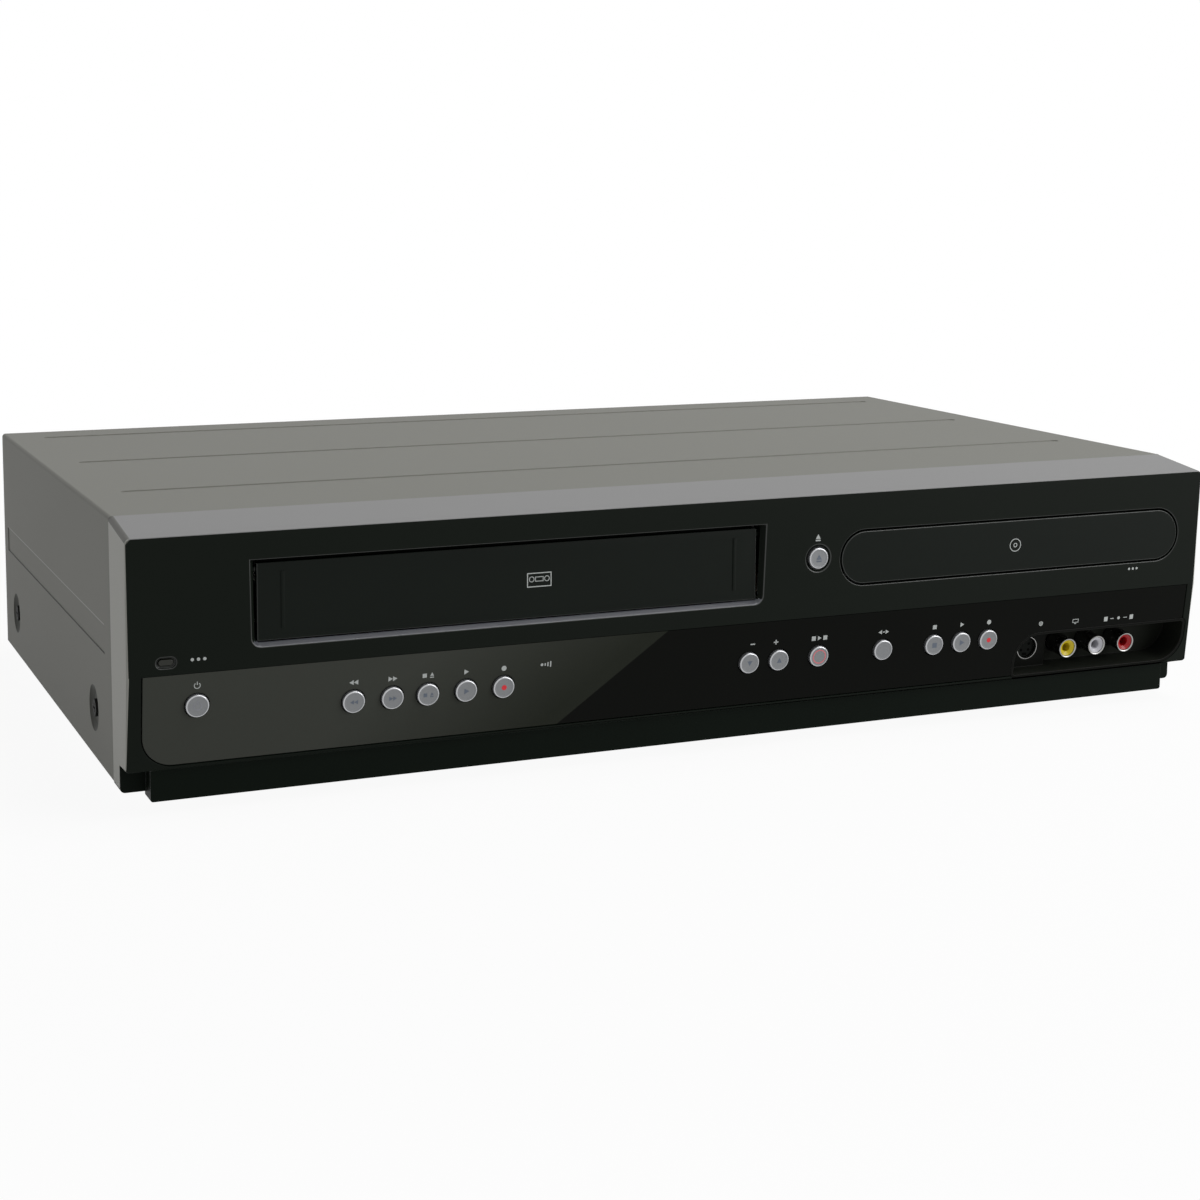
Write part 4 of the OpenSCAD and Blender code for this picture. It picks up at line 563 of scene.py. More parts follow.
def faceTilt(z):
    if z >= deck["kinkZ"]:
        return math.atan(deck["upperLean"] / (faceTopZ - deck["kinkZ"]))
    return math.atan(deck["lowerLean"] / (deck["kinkZ"] - deck["faceLowZ"]))


def onFace(x, z):
    # local frame on the face: x to the right, y inwards, z up along the face, in millimetres
    return (Matrix.Scale(mm, 4) @ Matrix.Translation((x, deck["frontY"] + faceDepth(z), z))
            @ Matrix.Rotation(faceTilt(z), 4, "X"))


def turned(shape, profile, place, segments=48, slot=0, sweep=360, start=0):
    # spins a profile of (radius, depth) round the local y axis; a radius of 0 closes it on the axis
    known = set(shape.verts)
    before = set(shape.faces)
    line = [shape.verts.new((radius, depth, 0)) for radius, depth in profile]
    edges = [shape.edges.new(pair) for pair in zip(line, line[1:])]
    bmesh.ops.rotate(shape, verts=line, cent=(0, 0, 0), matrix=Matrix.Rotation(math.radians(start), 3, "Y"))
    bmesh.ops.spin(shape, geom=line + edges, cent=(0, 0, 0), axis=(0, 1, 0), angle=math.radians(sweep),
                   steps=segments, use_merge=sweep == 360, use_duplicate=False)
    bmesh.ops.remove_doubles(shape, verts=[vert for vert in shape.verts if vert not in known], dist=0.001)
    made = [vert for vert in shape.verts if vert not in known]
    if sweep < 360:
        ends = [edge for vert in made for edge in vert.link_edges if edge.is_boundary]
        bmesh.ops.holes_fill(shape, edges=list(set(ends)), sides=0)
    fresh = [part for part in shape.faces if part not in before]
    bmesh.ops.recalc_face_normals(shape, faces=fresh)
    for part in fresh:
        part.material_index = slot
    bmesh.ops.transform(shape, matrix=place, verts=made)
    return made


def plate(shape, corners, layer, place, slot=0):
    # a thin flat piece with corners (x, z); its layer is the depth of its outer side and its thickness
    front, thickness = layer
    outline = [shape.verts.new((x, front, z)) for x, z in corners]
    top = shape.faces.new(outline)
    grown = bmesh.ops.extrude_face_region(shape, geom=[top])["geom"]
    moved = [item for item in grown if isinstance(item, bmesh.types.BMVert)]
    bmesh.ops.translate(shape, verts=moved, vec=(0, thickness, 0))
    parts = {part for vert in outline + moved for part in vert.link_faces}
    bmesh.ops.recalc_face_normals(shape, faces=list(parts))
    for part in parts:
        part.material_index = slot
    bmesh.ops.transform(shape, matrix=place, verts=outline + moved)


def bandProfile(outer, inner, layer):
    # the closed cross-section of a flat ring, for turned
    front, thickness = layer
    back = front + thickness
    return [(inner, front), (outer, front), (outer, back), (inner, back), (inner, front)]


def frameBand(shape, corners, line, layer, place, slot=0):
    # a thin flat frame inside an outline of corners (x, z) that runs anticlockwise
    front, thickness = layer
    outer = [Vector(corner) for corner in corners]
    inner = []
    for i, corner in enumerate(outer):
        before = (corner - outer[i - 1]).normalized()
        after = (outer[(i + 1) % len(outer)] - corner).normalized()
        inwards = Vector((-before.y, before.x)) + Vector((-after.y, after.x))
        inner.append(corner + inwards * line / (1 + before.dot(after)))
    rows = [[shape.verts.new((spot.x, front, spot.y)) for spot in row] for row in (outer, inner)]
    count = len(outer)
    ring = [shape.faces.new((rows[0][i - 1], rows[0][i], rows[1][i], rows[1][i - 1])) for i in range(count)]
    grown = bmesh.ops.extrude_face_region(shape, geom=ring)["geom"]
    moved = [item for item in grown if isinstance(item, bmesh.types.BMVert)]
    bmesh.ops.translate(shape, verts=moved, vec=(0, thickness, 0))
    verts = rows[0] + rows[1] + moved
    parts = {part for vert in verts for part in vert.link_faces}
    bmesh.ops.recalc_face_normals(shape, faces=list(parts))
    for part in parts:
        part.material_index = slot
    bmesh.ops.transform(shape, matrix=place, verts=verts)


# the dent is the long pressed band along each side, the seats are those of the side screws
cover = {
    "fold": 0.16, "rearFold": 125, "frontEdge": -107, "seats": (-74, 98), "seatZ": 25.8, "seatRadius": 8.7,
    "dentTop": 59.9, "dentLow": 49.9, "dentFront": -96, "dentBack": 117, "lightStrip": 0.55,
}


def outsideOfCover(middle, edge):
    x, y, z = inMm(middle)
    return (z > deck["height"] - 0.5 or abs(x) > deck["halfWidth"] - 0.6
            or y > cover["rearFold"] or y < cover["frontEdge"])


def makeCover():
    shape = nodeCopy("top_cover")
    soften(shape, cover["fold"], where=outsideOfCover)
    # a strip of the side along the upper edge of its long dent is painted lighter, a painted highlight
    top, back, front = cover["dentTop"], cover["dentBack"], cover["dentFront"]
    stripTop = top + cover["lightStrip"]
    flank = deck["halfWidth"] - 0.2  # what lies further out is the flat side itself
    for spot, way in (((0, 0, stripTop), (0, 0, 1)), ((0, 0, top + cover["fold"]), (0, 0, 1)),
                      ((0, back, 0), (0, 1, 0)), ((0, front, 0), (0, 1, 0))):
        sides = [part for part in shape.faces
                 if abs(part.calc_center_median().x) > flank * mm and abs(part.normal.x) > 0.9]
        around = {item for part in sides for item in list(part.verts) + list(part.edges)}
        bmesh.ops.bisect_plane(shape, geom=sides + list(around), dist=1e-6,
                               plane_co=[value * mm for value in spot], plane_no=way)
    for part in shape.faces:
        x, y, z = inMm(part.calc_center_median())
        if abs(x) < deck["halfWidth"] - 3.5:
            continue
        seat = min(math.hypot(y - spot, z - cover["seatZ"]) for spot in cover["seats"])
        # the screw seats are painted darker, a painted shade
        if seat < cover["seatRadius"] and abs(x) < deck["halfWidth"] - 0.1:
            part.material_index = 2
        elif top < z < stripTop and front < y < back and abs(x) > flank:
            part.material_index = 1
        # the dent's lower edge is painted darker, a painted shade
        elif abs(z - cover["dentLow"]) < 0.3 and abs(part.normal.z) > 0.2:
            part.material_index = 3
    makePiece("coverShell", shape, "case",
              ["painted_cover", "dentHighlightPaint", "shadedPaint", "dentShadePaint"], ["top_cover"])


makeCover()

bezel = {
    "corner": 1.7, "side": 0.8, "edge": 0.28, "paintTop": 0.25, "paintSide": 1.2,
    "slotX": -78.8, "slotWidth": 190.6, "slotLow": 57.6, "visibleDepth": 24,
    # roundings of the black lower corners: height of the edge, least distance from the middle, width
    "lowCorners": [(16.3, 208.6, 1.1), (6.6, 216, 1.8), (4.3, 208.6, 1.0)],
}


def makeBezel():
    shape = nodeCopy("front_bezel")
    half, low, kink = deck["halfWidth"], deck["faceLowZ"], deck["kinkZ"]
    look = bezel

    def chamferSide(middle, edge):
        # the two slanted outer edges between the painted border and the sides
        x, y, z = inMm(middle)
        return (abs(abs(x) - half) < 0.01 and z > faceTopZ + 0.2
                and y < deck["frontY"] + deck["borderDepth"] - 0.2)

    def uprightSide(middle, edge):
        x, y, z = inMm(middle)
        way = (edge.verts[1].co - edge.verts[0].co).normalized()
        return abs(abs(x) - half) < 0.01 and abs(way.z) > 0.9 and z > low and y < deck["frontY"] + 7

    def visible(middle, edge):
        return middle.y / mm < deck["frontY"] + look["visibleDepth"]

    # the rounded slanted edges take a darker paint, a painted shade
    soften(shape, look["corner"], where=chamferSide, segments=4, slot=5)
    for level, least, width in look["lowCorners"]:
        def lowCorner(middle, edge):
            x, y, z = inMm(middle)
            way = (edge.verts[1].co - edge.verts[0].co).normalized()
            return abs(x) > least and abs(z - level) < 0.05 and abs(way.y) > 0.9 and edge.is_convex

        soften(shape, width, where=lowCorner, segments=4)
    soften(shape, look["side"], where=uprightSide, segments=3)
    soften(shape, look["edge"], where=visible, slot=2)
    for vertex in shape.verts:
        vertex.co.y = max(vertex.co.y, deck["frontY"] * mm)
    for part in shape.faces:
        x, y, z = inMm(part.calc_center_median())
        facing = part.normal
        nearSlot = abs(x - look["slotX"]) < look["slotWidth"] / 2 + 2 and y < deck["frontY"] + 6
        if part.material_index == 5:  # the rounded slanted edge keeps its finish
            continue
        if z > faceTopZ - look["paintTop"] and facing.z > 0.2:
            part.material_index = 1
        # the side strip takes a lighter copy of the border paint, a painted light
        elif abs(x) > half - look["paintSide"] and z > low + 0.2 and abs(facing.x) > 0.12:
            part.material_index = 6 if facing.z > -0.3 else 0
        # the slot's lower lip takes a lighter grey, a painted highlight
        elif nearSlot and -2 < z - look["slotLow"] < 0.4 and facing.z > 0.3 and facing.y < -0.1:
            part.material_index = 3
        elif z < low + 1.5 and facing.y < -0.5:
            part.material_index = 4
        elif low < z < kink + 0.5 and part.material_index == 2:
            part.material_index = 0
    slots = ["front_black", "borderPaint", "edgeGloss", "lipHighlight", "skirtBlack", "foldShadePaint", "stripLitPaint"]
    makePiece("frontBezel", shape, "case", slots, ["front_bezel"])


makeBezel()

# width of the edges' rounding on the other pieces that are copies of nodes
edgeWidths = {
    "controlPanel": 0.18, "cassetteFlap": 0.3, "trayDoor": 0.3, "lampLens": 0.25, "jackTub": 0.25,
    "rearPlate": 0.12, "chassisSheet": 0.12, "rearSockets": 0.2, "aerialSockets": 0.12, "cordGland": 0.25,
    "caseScrews": 0.15, "rubberFeet": 0.4,
}


def softened(name, node, body="case", where=None, edge=None):
    # a copy of the node with rounded edges, which may take a finish of their own
    shape = nodeCopy(node)
    soften(shape, edgeWidths[name], where=where, slot=1 if edge else -1)
    makePiece(name, shape, body, [slotOf[node], edge] if edge else [slotOf[node]], [node])


flap = {"middleZ": 71.9, "rimX": 90, "rimZ": 12.5}


def flapRim(middle, edge):
    # the rim of the cassette door, without its two ridges
    x, y, z = inMm(middle)
    return abs(x - bezel["slotX"]) > flap["rimX"] or abs(z - flap["middleZ"]) > flap["rimZ"]


softened("controlPanel", "control_panel")
# the door edges take a lighter black, a painted highlight
softened("cassetteFlap", "cassette_door", "door", flapRim, "doorEdgeHighlight")
softened("trayDoor", "tray_front", "tray", edge="doorEdgeHighlight")
softened("lampLens", "led_lens")

tub = {"floorDepth": 14.5}


def makeTub():
    # the floor and the walls of the recess are painted greyer than the face of its block, a painted light in
    # the recess's shade
    shape = nodeCopy("jack_tub")
    soften(shape, edgeWidths["jackTub"], slot=1)
    shape.normal_update()
    for part in shape.faces:
        depth = part.calc_center_median().y / mm - deck["frontY"]
        if part.material_index == 0 and (depth > tub["floorDepth"] or part.normal.y > -0.8):
            part.material_index = 2
    makePiece("jackTub", shape, "case", ["tubBlack", "tubEdge", "tubPaintedLight"], ["jack_tub"])


makeTub()
print("shell made")


def triangle(direction, shift=0.0, size=1.0):
    points = {
        "right": [(-0.42, -0.5), (0.46, 0.0), (-0.42, 0.5)],
        "left": [(0.42, -0.5), (0.42, 0.5), (-0.46, 0.0)],
        "up": [(-0.5, -0.42), (0.5, -0.42), (0.0, 0.46)],
        "down": [(-0.5, 0.42), (0.0, -0.46), (0.5, 0.42)],
    }
    return [(x * size + shift, z * size) for x, z in points[direction]]


def box(width, height, x=0.0, z=0.0):
    return [(x - width / 2, z - height / 2), (x + width / 2, z - height / 2),
            (x + width / 2, z + height / 2), (x - width / 2, z + height / 2)]


def disc(radius, x=0.0, z=0.0, count=24):
    return [(x + radius * math.cos(math.tau * i / count), z + radius * math.sin(math.tau * i / count))
            for i in range(count)]


# each symbol is a list of outlines (x, z), one unit high
symbols = {
    "rewind": [triangle("left", -0.45), triangle("left", 0.45)],
    "forward": [triangle("right", -0.45), triangle("right", 0.45)],
    "stop": [box(0.9, 0.9)],
    "stopEject": [box(0.85, 0.85, -0.75), [(x + 0.75, z + 0.2) for x, z in triangle("up", 0, 0.8)],
                  box(0.8, 0.2, 0.75, -0.42)],
    "play": [triangle("right")],
    "record": [disc(0.5)],
    "up": [triangle("up")],
    "down": [triangle("down")],
    "eject": [[(x, z + 0.2) for x, z in triangle("up", 0, 0.95)], box(0.95, 0.22, 0, -0.45)],
    "plus": [box(1.0, 0.24), box(0.24, 1.0)],
    "minus": [box(1.0, 0.24)],
    "swap": [triangle("left", -0.8, 0.9), box(0.5, 0.2), triangle("right", 0.8, 0.9)],
    "dots": [disc(0.3, -1.1), disc(0.3), disc(0.3, 1.1)],
    "beam": [disc(0.28, -0.8), box(0.24, 0.5, -0.15), box(0.24, 0.8, 0.4), box(0.24, 1.1, 0.95)],
    "copy": [box(0.9, 0.9, -1.3), triangle("right", 0, 0.9), box(0.9, 0.9, 1.3)],
    "round": [disc(0.16, -0.22, 0.12), disc(0.16, 0.22, 0.12), disc(0.16, -0.2, -0.25),
              disc(0.16, 0.2, -0.25)],
    "screen": [box(0.5, 0.14, 0, -0.5)],
    "pair": [box(0.9, 1.0, -3.3), box(0.9, 0.16, -1.7), disc(0.34), box(0.9, 0.16, 1.7), box(0.9, 1.0, 3.3)],
}
# outlined parts of a symbol: (outer corners, line width)
lines = {
    "round": [(disc(0.5), 0.12)],
    "screen": [(box(1.5, 0.8, 0, 0.1), 0.13)],
    "cassette": [(box(1.8, 1.0), 0.07), (box(0.62, 0.34, 0, 0.05), 0.05), (disc(0.2, -0.56, 0.05), 0.05),
                 (disc(0.2, 0.56, 0.05), 0.05)],
    "disc": [(disc(0.5, count=40), 0.06), (disc(0.17), 0.06)],
}


def printSymbol(shape, name, size, place, layer, slot=0):
    if name == "power":
        # open ring with a short bar in its gap
        outer, line, gap = size / 2, size * 0.13, 76
        turned(shape, bandProfile(outer, outer - line, layer), place, 32, slot, 360 - gap, gap / 2 - 90)
        plate(shape, box(line, outer, 0, outer * 0.72), layer, place, slot)
    for outline in symbols.get(name, []):
        plate(shape, [(x * size, z * size) for x, z in outline], layer, place, slot)
    for outline, line in lines.get(name, []):
        corners = [(x * size, z * size) for x, z in outline]
        frameBand(shape, corners, line * size, layer, place, slot)


buttons = {
    "radius": 4.0, "proud": 1.2, "rim": 0.5, "rimSteps": 6,
    "dish": 0.12, "dishFloor": 1.15, "dishSlope": 0.95,
    "lowerWall": 3.5, "upperWall": 2.5, "flangeGap": 0.3, "flange": 1.0, "flangeRadius": 4.8,
    "stem": 1.5, "stemEnd": 8.6, "inkProud": 0.03, "inkThickness": 0.06, "ringLine": 0.45,
}
# button: (x, z, symbol, its height, ink)
buttonPlaces = {
    "standby": (-194.0, 38.0, "power", 3.0, "faintInk"),
    "rewind": (-139.7, 34.0, "rewind", 1.6, "symbolInk"),
    "forward": (-125.7, 34.0, "forward", 1.6, "symbolInk"),
    "tape_stop": (-112.7, 34.0, "stopEject", 1.6, "symbolInk"),
    "tape_play": (-98.6, 34.0, "play", 2.1, "symbolInk"),
    "tape_record": (-84.5, 34.0, "record", 1.9, "recordInk"),
    "tracking_down": (13.4, 34.0, "down", 2.1, "symbolInk"),
    "tracking_up": (25.9, 34.0, "up", 2.1, "symbolInk"),
    "dubbing": (43.0, 34.0, "ring", 5.6, "ringInk"),
    "source": (71.1, 34.0, None, 0, "symbolInk"),
    "disc_stop": (94.0, 34.0, "stop", 2.2, "symbolInk"),
    "disc_play": (106.5, 34.0, "play", 2.4, "symbolInk"),
    "disc_record": (118.9, 34.0, "record", 1.9, "recordInk"),
    "open_close": (40.8, 72.0, "eject", 2.4, "symbolInk"),
}


def makeButton(body, x, z, symbol, size, ink):
    place = onFace(x, z)
    look = buttons
    upper = z > deck["kinkZ"]
    top = -look["proud"] / 2 if upper else -look["proud"]
    flangeAt = look["upperWall" if upper else "lowerWall"] + look["flangeGap"]
    flangeEnd = flangeAt + look["flange"]
    radius, rim, dish = look["radius"], look["rim"], look["dish"]
    # the shallow dish, the rounded rim, then back along the cap to the flange and the stem
    profile = [(0.0, top + dish), (radius - look["dishFloor"], top + dish),
               (radius - look["dishSlope"], top + dish * 0.6)]
    for i in range(look["rimSteps"] + 1):
        angle = math.radians(90 * i / look["rimSteps"])
        profile.append((radius - rim + rim * math.sin(angle), top + rim - rim * math.cos(angle)))
    profile += [(radius, flangeAt), (look["flangeRadius"], flangeAt), (look["flangeRadius"], flangeEnd),
                (look["stem"], flangeEnd), (look["stem"], look["stemEnd"]), (0.0, look["stemEnd"])]
    shape = bmesh.new()
    turned(shape, profile, place)
    shape.normal_update()
    toFace = place.inverted()
    # the rim's faces take the lighter silver, a painted highlight
    for part in shape.faces:
        middle = toFace @ part.calc_center_median()
        if math.hypot(middle.x, middle.z) > radius - rim and middle.y < 0:
            part.material_index = 2
    layer = (top + dish - look["inkProud"], look["inkThickness"])
    if symbol == "ring":
        turned(shape, bandProfile(size / 2, size / 2 - look["ringLine"], layer), place, 40, 1)
    elif symbol:
        printSymbol(shape, symbol, size, place, layer, 1)
    makePiece(body + "Key", shape, body, ["button_silver", ink, "buttonRimHighlight"], [body + "_button"])


for body, (x, z, symbol, size, ink) in buttonPlaces.items():
    makeButton(body, x, z, symbol, size, ink)
print("buttons made:", len(buttonPlaces))


# mark: (x, z, symbol, height)
marks = [
    (-139.7, 40.8, "rewind", 1.8), (-125.7, 40.8, "forward", 1.8), (-112.7, 40.8, "stopEject", 1.8),
    (-98.6, 40.8, "play", 1.9), (-84.5, 40.8, "record", 1.9), (-68.5, 40.8, "beam", 1.9),
    (14.6, 41.0, "minus", 1.9), (24.4, 41.0, "plus", 1.9), (43.0, 41.0, "copy", 1.9),
    (71.1, 41.0, "swap", 1.9), (94.0, 41.0, "stop", 1.9), (106.5, 41.0, "play", 1.9),
    (118.9, 41.0, "record", 1.9), (40.4, 79.8, "eject", 2.2),
    (-193.6, 54.0, "dots", 1.9), (-194.0, 44.9, "power", 2.3),
    (143.6, 38.3, "round", 1.9), (160.2, 37.9, "screen", 1.9), (181.3, 37.6, "pair", 1.9),
    (-71.0, 71.6, "cassette", 5.2), (128.8, 71.2, "disc", 5.2), (186.0, 57.8, "dots", 1.7),
]
# marks that ride on a door: mark, body, how far the door stands back where it isn't flush with the face
doorMarks = {"cassette": ("door", 3.0), "disc": ("tray", None)}
faceInk = {"proud": 0.02, "thickness": 0.05}


def makeMarks():
    layer = (-faceInk["proud"], faceInk["thickness"])
    shape = bmesh.new()
    for x, z, symbol, size in marks:
        if symbol not in doorMarks:
            printSymbol(shape, symbol, size, onFace(x, z), layer)
            continue
        body, back = doorMarks[symbol]
        own = bmesh.new()
        place = onFace(x, z)
        if back:
            place = Matrix.Scale(mm, 4) @ Matrix.Translation((x, deck["frontY"] + back, z))
        printSymbol(own, symbol, size, place, layer)
        makePiece(symbol + "Mark", own, body, ["labelInk"])
    makePiece("faceMarks", shape, "case", ["labelInk"])


makeMarks()
lowerTilt = faceTilt(30.0)


def onLower(x, z):
    # the recess is square to the lower face, whose frame starts on the kink line
    return (Matrix.Scale(mm, 4) @ Matrix.Translation((x, deck["frontY"] + deck["upperLean"], deck["kinkZ"]))
            @ Matrix.Rotation(lowerTilt, 4, "X")
            @ Matrix.Translation((0, 0, -(deck["kinkZ"] - z) / math.cos(lowerTilt))))


# depths are measured inwards from the face
phono = {
    "places": {160.2: "yellowInsert", 174.3: "whiteInsert", 188.4: "redInsert"}, "z": 25.65,
    "radius": 4.15, "rimWidth": 0.85, "rimRound": 0.25, "mouth": 2.7, "seat": 13.5,
    "bore": 1.75, "funnel": 1.5, "lip": 0.35, "insertBack": 0.5, "boreFloor": 5, "insertEnd": 9,
}


def makePhono(x, insert):
    look = phono
    place = onLower(x, look["z"])
    shape = bmesh.new()
    radius, mouth, bore, fillet = look["radius"], look["mouth"], look["bore"], look["rimRound"]
    inside = radius - look["rimWidth"]
    start, end = mouth + look["insertBack"], mouth + look["insertEnd"]
    funnelEnd, boreFloor = mouth + look["funnel"], mouth + look["boreFloor"]
    barrel = [(inside, mouth + 3), (inside, mouth + fillet), (inside + fillet * 0.8, mouth + fillet * 0.2),
              (radius - fillet, mouth), (radius, mouth + fillet), (radius, look["seat"]),
              (inside, look["seat"]), (inside, mouth + 3)]
    insertRing = [(bore, end - 1), (bore, funnelEnd), (bore + 0.12, funnelEnd - 0.25),
                  (inside - look["lip"], start), (inside, start), (inside, end), (bore, end), (bore, end - 1)]
    # a near-black plug deep in the bore paints the hole's shade
    core = [(0, boreFloor), (bore - 0.2, boreFloor), (bore - 0.2, end), (0, end)]
    turned(shape, barrel, place, 40, 0)
    turned(shape, insertRing, place, 40, 1)
    turned(shape, core, place, 24, 2)
    makePiece("phono" + insert[:-6].capitalize(), shape, "case", ["rimNickel", insert, "socketBlack"],
              ["front_jacks"])


for x, insert in phono["places"].items():
    makePhono(x, insert)

roundSocket = {
    "x": 143.6, "front": 7.2, "seat": 13.5, "inner": 4.25, "outer": 4.75, "face": 4.0, "faceBack": 1.4,
    "contactAngles": (35, 145, 215, 325), "contactRing": 2.1, "contact": 0.62,
    "keyWidth": 1.8, "keyDrop": 3.0,
}


def makeRoundSocket():
    # small round socket with four contacts and a key, let into the raised block
    look = roundSocket
    place = onLower(look["x"], phono["z"])
    front, seat, inner, outer = look["front"], look["seat"], look["inner"], look["outer"]
    faceAt = front + look["faceBack"]
    shape = bmesh.new()
    shellRing = [(inner, front + 4), (inner, front + 0.2), (inner + 0.15, front), (outer - 0.1, front),
                 (outer, front + 0.2), (outer, seat), (inner, seat), (inner, front + 4)]
    block = [(0, faceAt), (look["face"], faceAt), (inner, faceAt + 0.4), (inner, seat - 0.5), (0, seat - 0.5)]
    turned(shape, shellRing, place, 48, 0)
    turned(shape, block, place, 48, 1)
    # the four contacts are near-black discs that paint the shade of their holes
    contact, top, foot = look["contact"], faceAt - 0.1, faceAt + 0.02
    for angle in look["contactAngles"]:
        ring, turn = look["contactRing"], math.radians(angle)
        spot = place @ Matrix.Translation((ring * math.cos(turn), 0, ring * math.sin(turn)))
        turned(shape, [(0, top), (contact - 0.12, top), (contact, foot), (0, foot)], spot, 16, 2)
    plate(shape, box(look["keyWidth"], 1.0, 0, -look["keyDrop"]), (faceAt - 0.15, 0.2), place, 2)
    makePiece("roundSocket", shape, "case", ["rimNickel", "socketFace", "socketBlack"], ["front_jacks"])


makeRoundSocket()
print("front sockets made")

softened("rearPlate", "rear_panel")
softened("chassisSheet", "chassis_tray")

rearPhono = {
    "columns": (-118, -103, -88, -73, -58), "rows": (36, 52), "insert": 3.3, "plateY": 126,
    "colours": [("yellowInsert", "whiteInsert", "redInsert", "whiteInsert", "redInsert"),
                ("greenInsert", "blueInsert", "redInsert", "whiteInsert", "redInsert")],
}


def makeRearSockets():
    # every phono socket keeps its nickel barrel round an insert in the colour of its signal
    shape = nodeCopy("rear_jacks")
    soften(shape, edgeWidths["rearSockets"])
    look = rearPhono
    slots = ["jack_parts", "yellowInsert", "whiteInsert", "redInsert", "greenInsert", "blueInsert"]
    for part in shape.faces:
        x, y, z = inMm(part.calc_center_median())
        for row, height in enumerate(look["rows"]):
            for column, across in enumerate(look["columns"]):
                if math.hypot(x - across, z - height) < look["insert"] and y > look["plateY"]:
                    part.material_index = slots.index(look["colours"][row][column])
    makePiece("rearSockets", shape, "case", slots, ["rear_jacks"])


makeRearSockets()
softened("aerialSockets", "antenna_jacks")
softened("cordGland", "cord_gland")


def makeScrews():
    # the side screws are blackened, the rear ones bright
    shape = nodeCopy("case_screws")
    soften(shape, edgeWidths["caseScrews"])
    for part in shape.faces:
        if abs(part.calc_center_median().x) > (deck["halfWidth"] - 12.5) * mm:
            part.material_index = 1
    makePiece("caseScrews", shape, "case", ["screw_steel", "blackScrew"], ["case_screws"])


makeScrews()
softened("rubberFeet", "feet")
print("rear and underside made")

# lengths in metres, lamps in watts
studio = {
    "floorRadius": 6.0, "paper": (0.80, 0.84), "paperGlow": 0.93, "fadeFrom": 0.16, "fadeTo": 0.6,
    "world": 0.24,
    "lamps": {
        "keyLamp": {"energy": 23.0, "size": 1.4, "place": (0.75, -0.35, 2.0), "target": (0, 0, 0.05)},
        "fillLamp": {"energy": 9.0, "size": 0.9, "place": (1.0, -1.0, 0.45), "target": (0.1, -0.1, 0.05)},
    },
}
white = (1.0, 1.0, 1.0)


def makeFloor():
    shape = bmesh.new()
    bmesh.ops.create_circle(shape, cap_ends=True, segments=96, radius=studio["floorRadius"])
    mesh = bpy.data.meshes.new("floor")
    shape.to_mesh(mesh)
    shape.free()
    floor = bpy.data.objects.new("floor", mesh)
    bpy.context.scene.collection.objects.link(floor)
    finish = Finish("floorPaper", {"Roughness": 0.9, "Specular IOR Level": 0.1})
    x, y, z = finish.axes()
    low, high = studio["paper"]
    finish.set("Base Color", finish.blend(finish.noise(2, 3), (low, low, low), (high, high, high)))
    # what the camera and reflections see of the floor glows, and it turns white away from the object
    glow = finish.add("ShaderNodeEmission", None, {"Color": white, "Strength": 1.0})
    away = (x * x + y * y).between(studio["fadeFrom"], studio["fadeTo"])
    seen, glossy = finish.outputs(finish.add("ShaderNodeLightPath"), ("Is Camera Ray", "Is Glossy Ray"))
    share = (seen + glossy) * (studio["paperGlow"] + away * (1 - studio["paperGlow"]))
    paper = Signal(finish, finish.shader.outputs[0])
    mixed = finish.add("ShaderNodeMixShader", None, {0: share.between(0.0, 1.0), 1: paper, 2: glow})
    finish.feed(finish.tree.nodes["Material Output"].inputs["Surface"], mixed)
    mesh.materials.append(finish.material)


makeFloor()


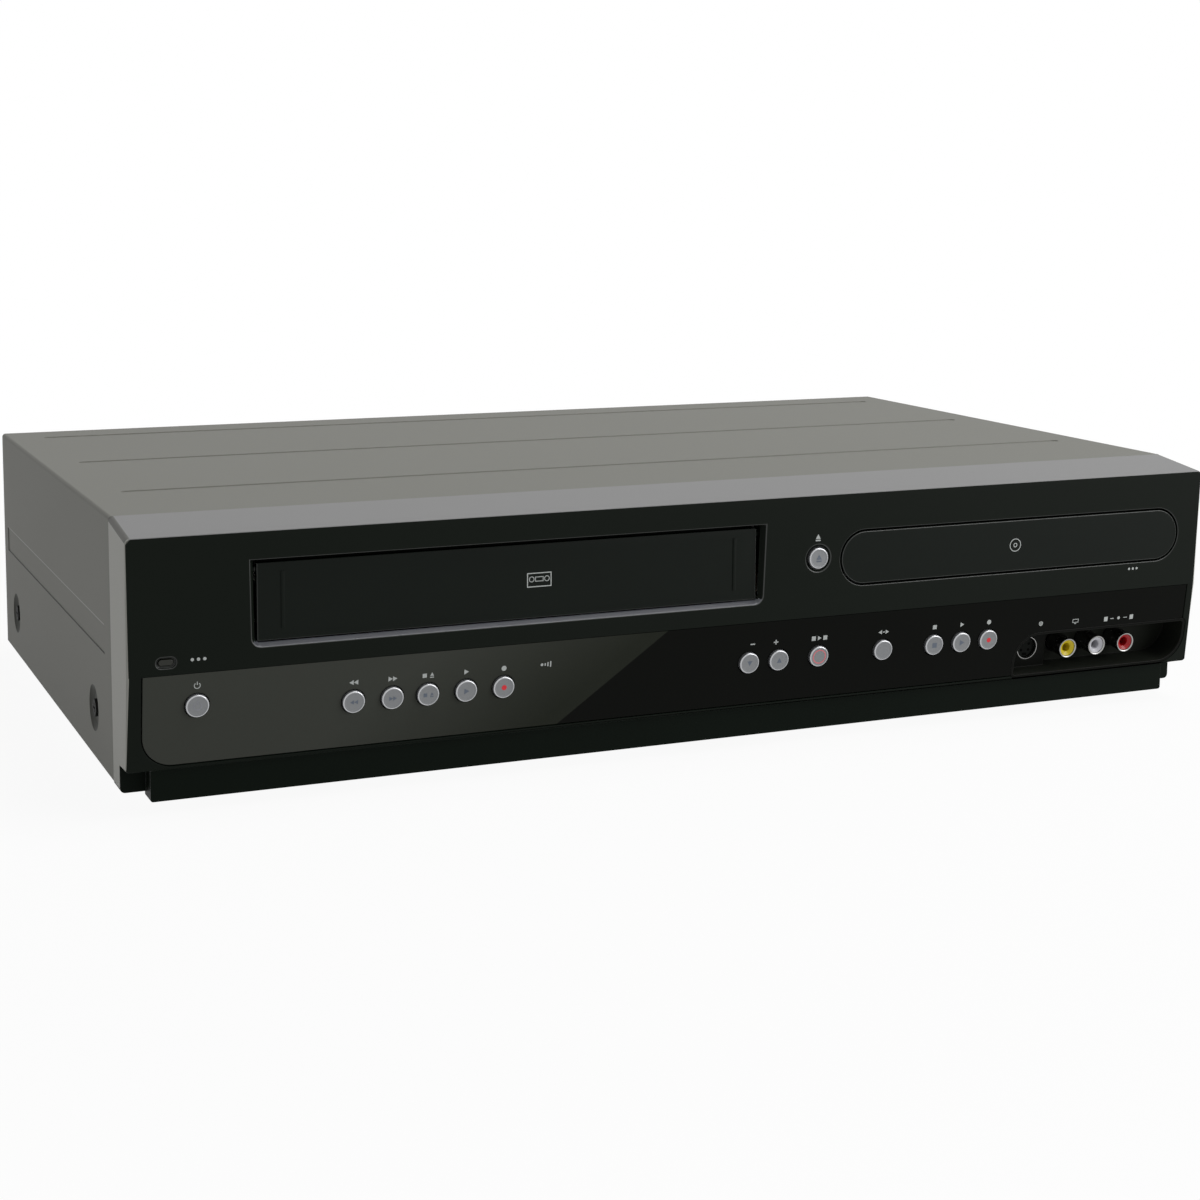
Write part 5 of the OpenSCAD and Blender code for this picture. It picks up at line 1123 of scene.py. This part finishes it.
def makeWorld():
    # soft light on the object, plain white for the camera, for reflections and through glass
    world = bpy.data.worlds.new("studio")
    bpy.context.scene.world = world
    world.use_nodes = True
    nodes = Nodes(world.node_tree)
    kinds = ("Is Camera Ray", "Is Glossy Ray", "Is Transmission Ray")
    seen, glossy, through = nodes.outputs(nodes.add("ShaderNodeLightPath"), kinds)
    soft = nodes.add("ShaderNodeBackground", None, {"Color": white, "Strength": studio["world"]})
    bright = nodes.add("ShaderNodeBackground", None, {"Color": white, "Strength": 1.0})
    share = (seen + glossy + through).between(0.0, 1.0)
    mixed = nodes.add("ShaderNodeMixShader", None, {0: share, 1: soft, 2: bright})
    nodes.feed(nodes.tree.nodes["World Output"].inputs["Surface"], mixed)


makeWorld()


def makeLamp(name, look):
    lamp = bpy.data.lights.new(name, "AREA")
    lamp.energy = look["energy"]
    lamp.shape = "DISK"
    lamp.size = look["size"]
    holder = bpy.data.objects.new(name, lamp)
    bpy.context.scene.collection.objects.link(holder)
    holder.location = look["place"]
    way = Vector(look["target"]) - Vector(look["place"])
    holder.rotation_euler = way.to_track_quat("-Z", "Y").to_euler()


for name, look in studio["lamps"].items():
    makeLamp(name, look)

# the focal length and the centre's height are in pixels of the square image
camera = {
    "place": (-0.35494, -0.82413, 0.21911), "azimuth": -23.89, "elevation": 7.25, "roll": 0.436,
    "focal": 2150.5, "centreY": 433.6, "image": 1200, "sensor": 36.0,
    "clip": (0.01, 50),
}


def makeCamera(look):
    azimuth, elevation, roll = (math.radians(look[key]) for key in ("azimuth", "elevation", "roll"))
    back = Vector((math.sin(azimuth) * math.cos(elevation), -math.cos(azimuth) * math.cos(elevation),
                   math.sin(elevation)))
    right = Vector((0, 0, 1)).cross(back).normalized()
    up = back.cross(right)
    across = math.cos(roll) * right + math.sin(roll) * up
    upright = back.cross(across)
    data = bpy.data.cameras.new("frontView")
    data.sensor_width = look["sensor"]
    data.lens = look["sensor"] * look["focal"] / look["image"]
    data.shift_y = (look["centreY"] - look["image"] / 2) / look["image"]
    data.clip_start, data.clip_end = look["clip"]
    holder = bpy.data.objects.new("frontView", data)
    bpy.context.scene.collection.objects.link(holder)
    turn = Matrix((across, upright, back)).transposed().to_4x4()
    holder.matrix_world = Matrix.Translation(look["place"]) @ turn
    bpy.context.scene.camera = holder


makeCamera(camera)
bpy.context.scene.view_settings.view_transform = "Standard"
print("stage and camera made")
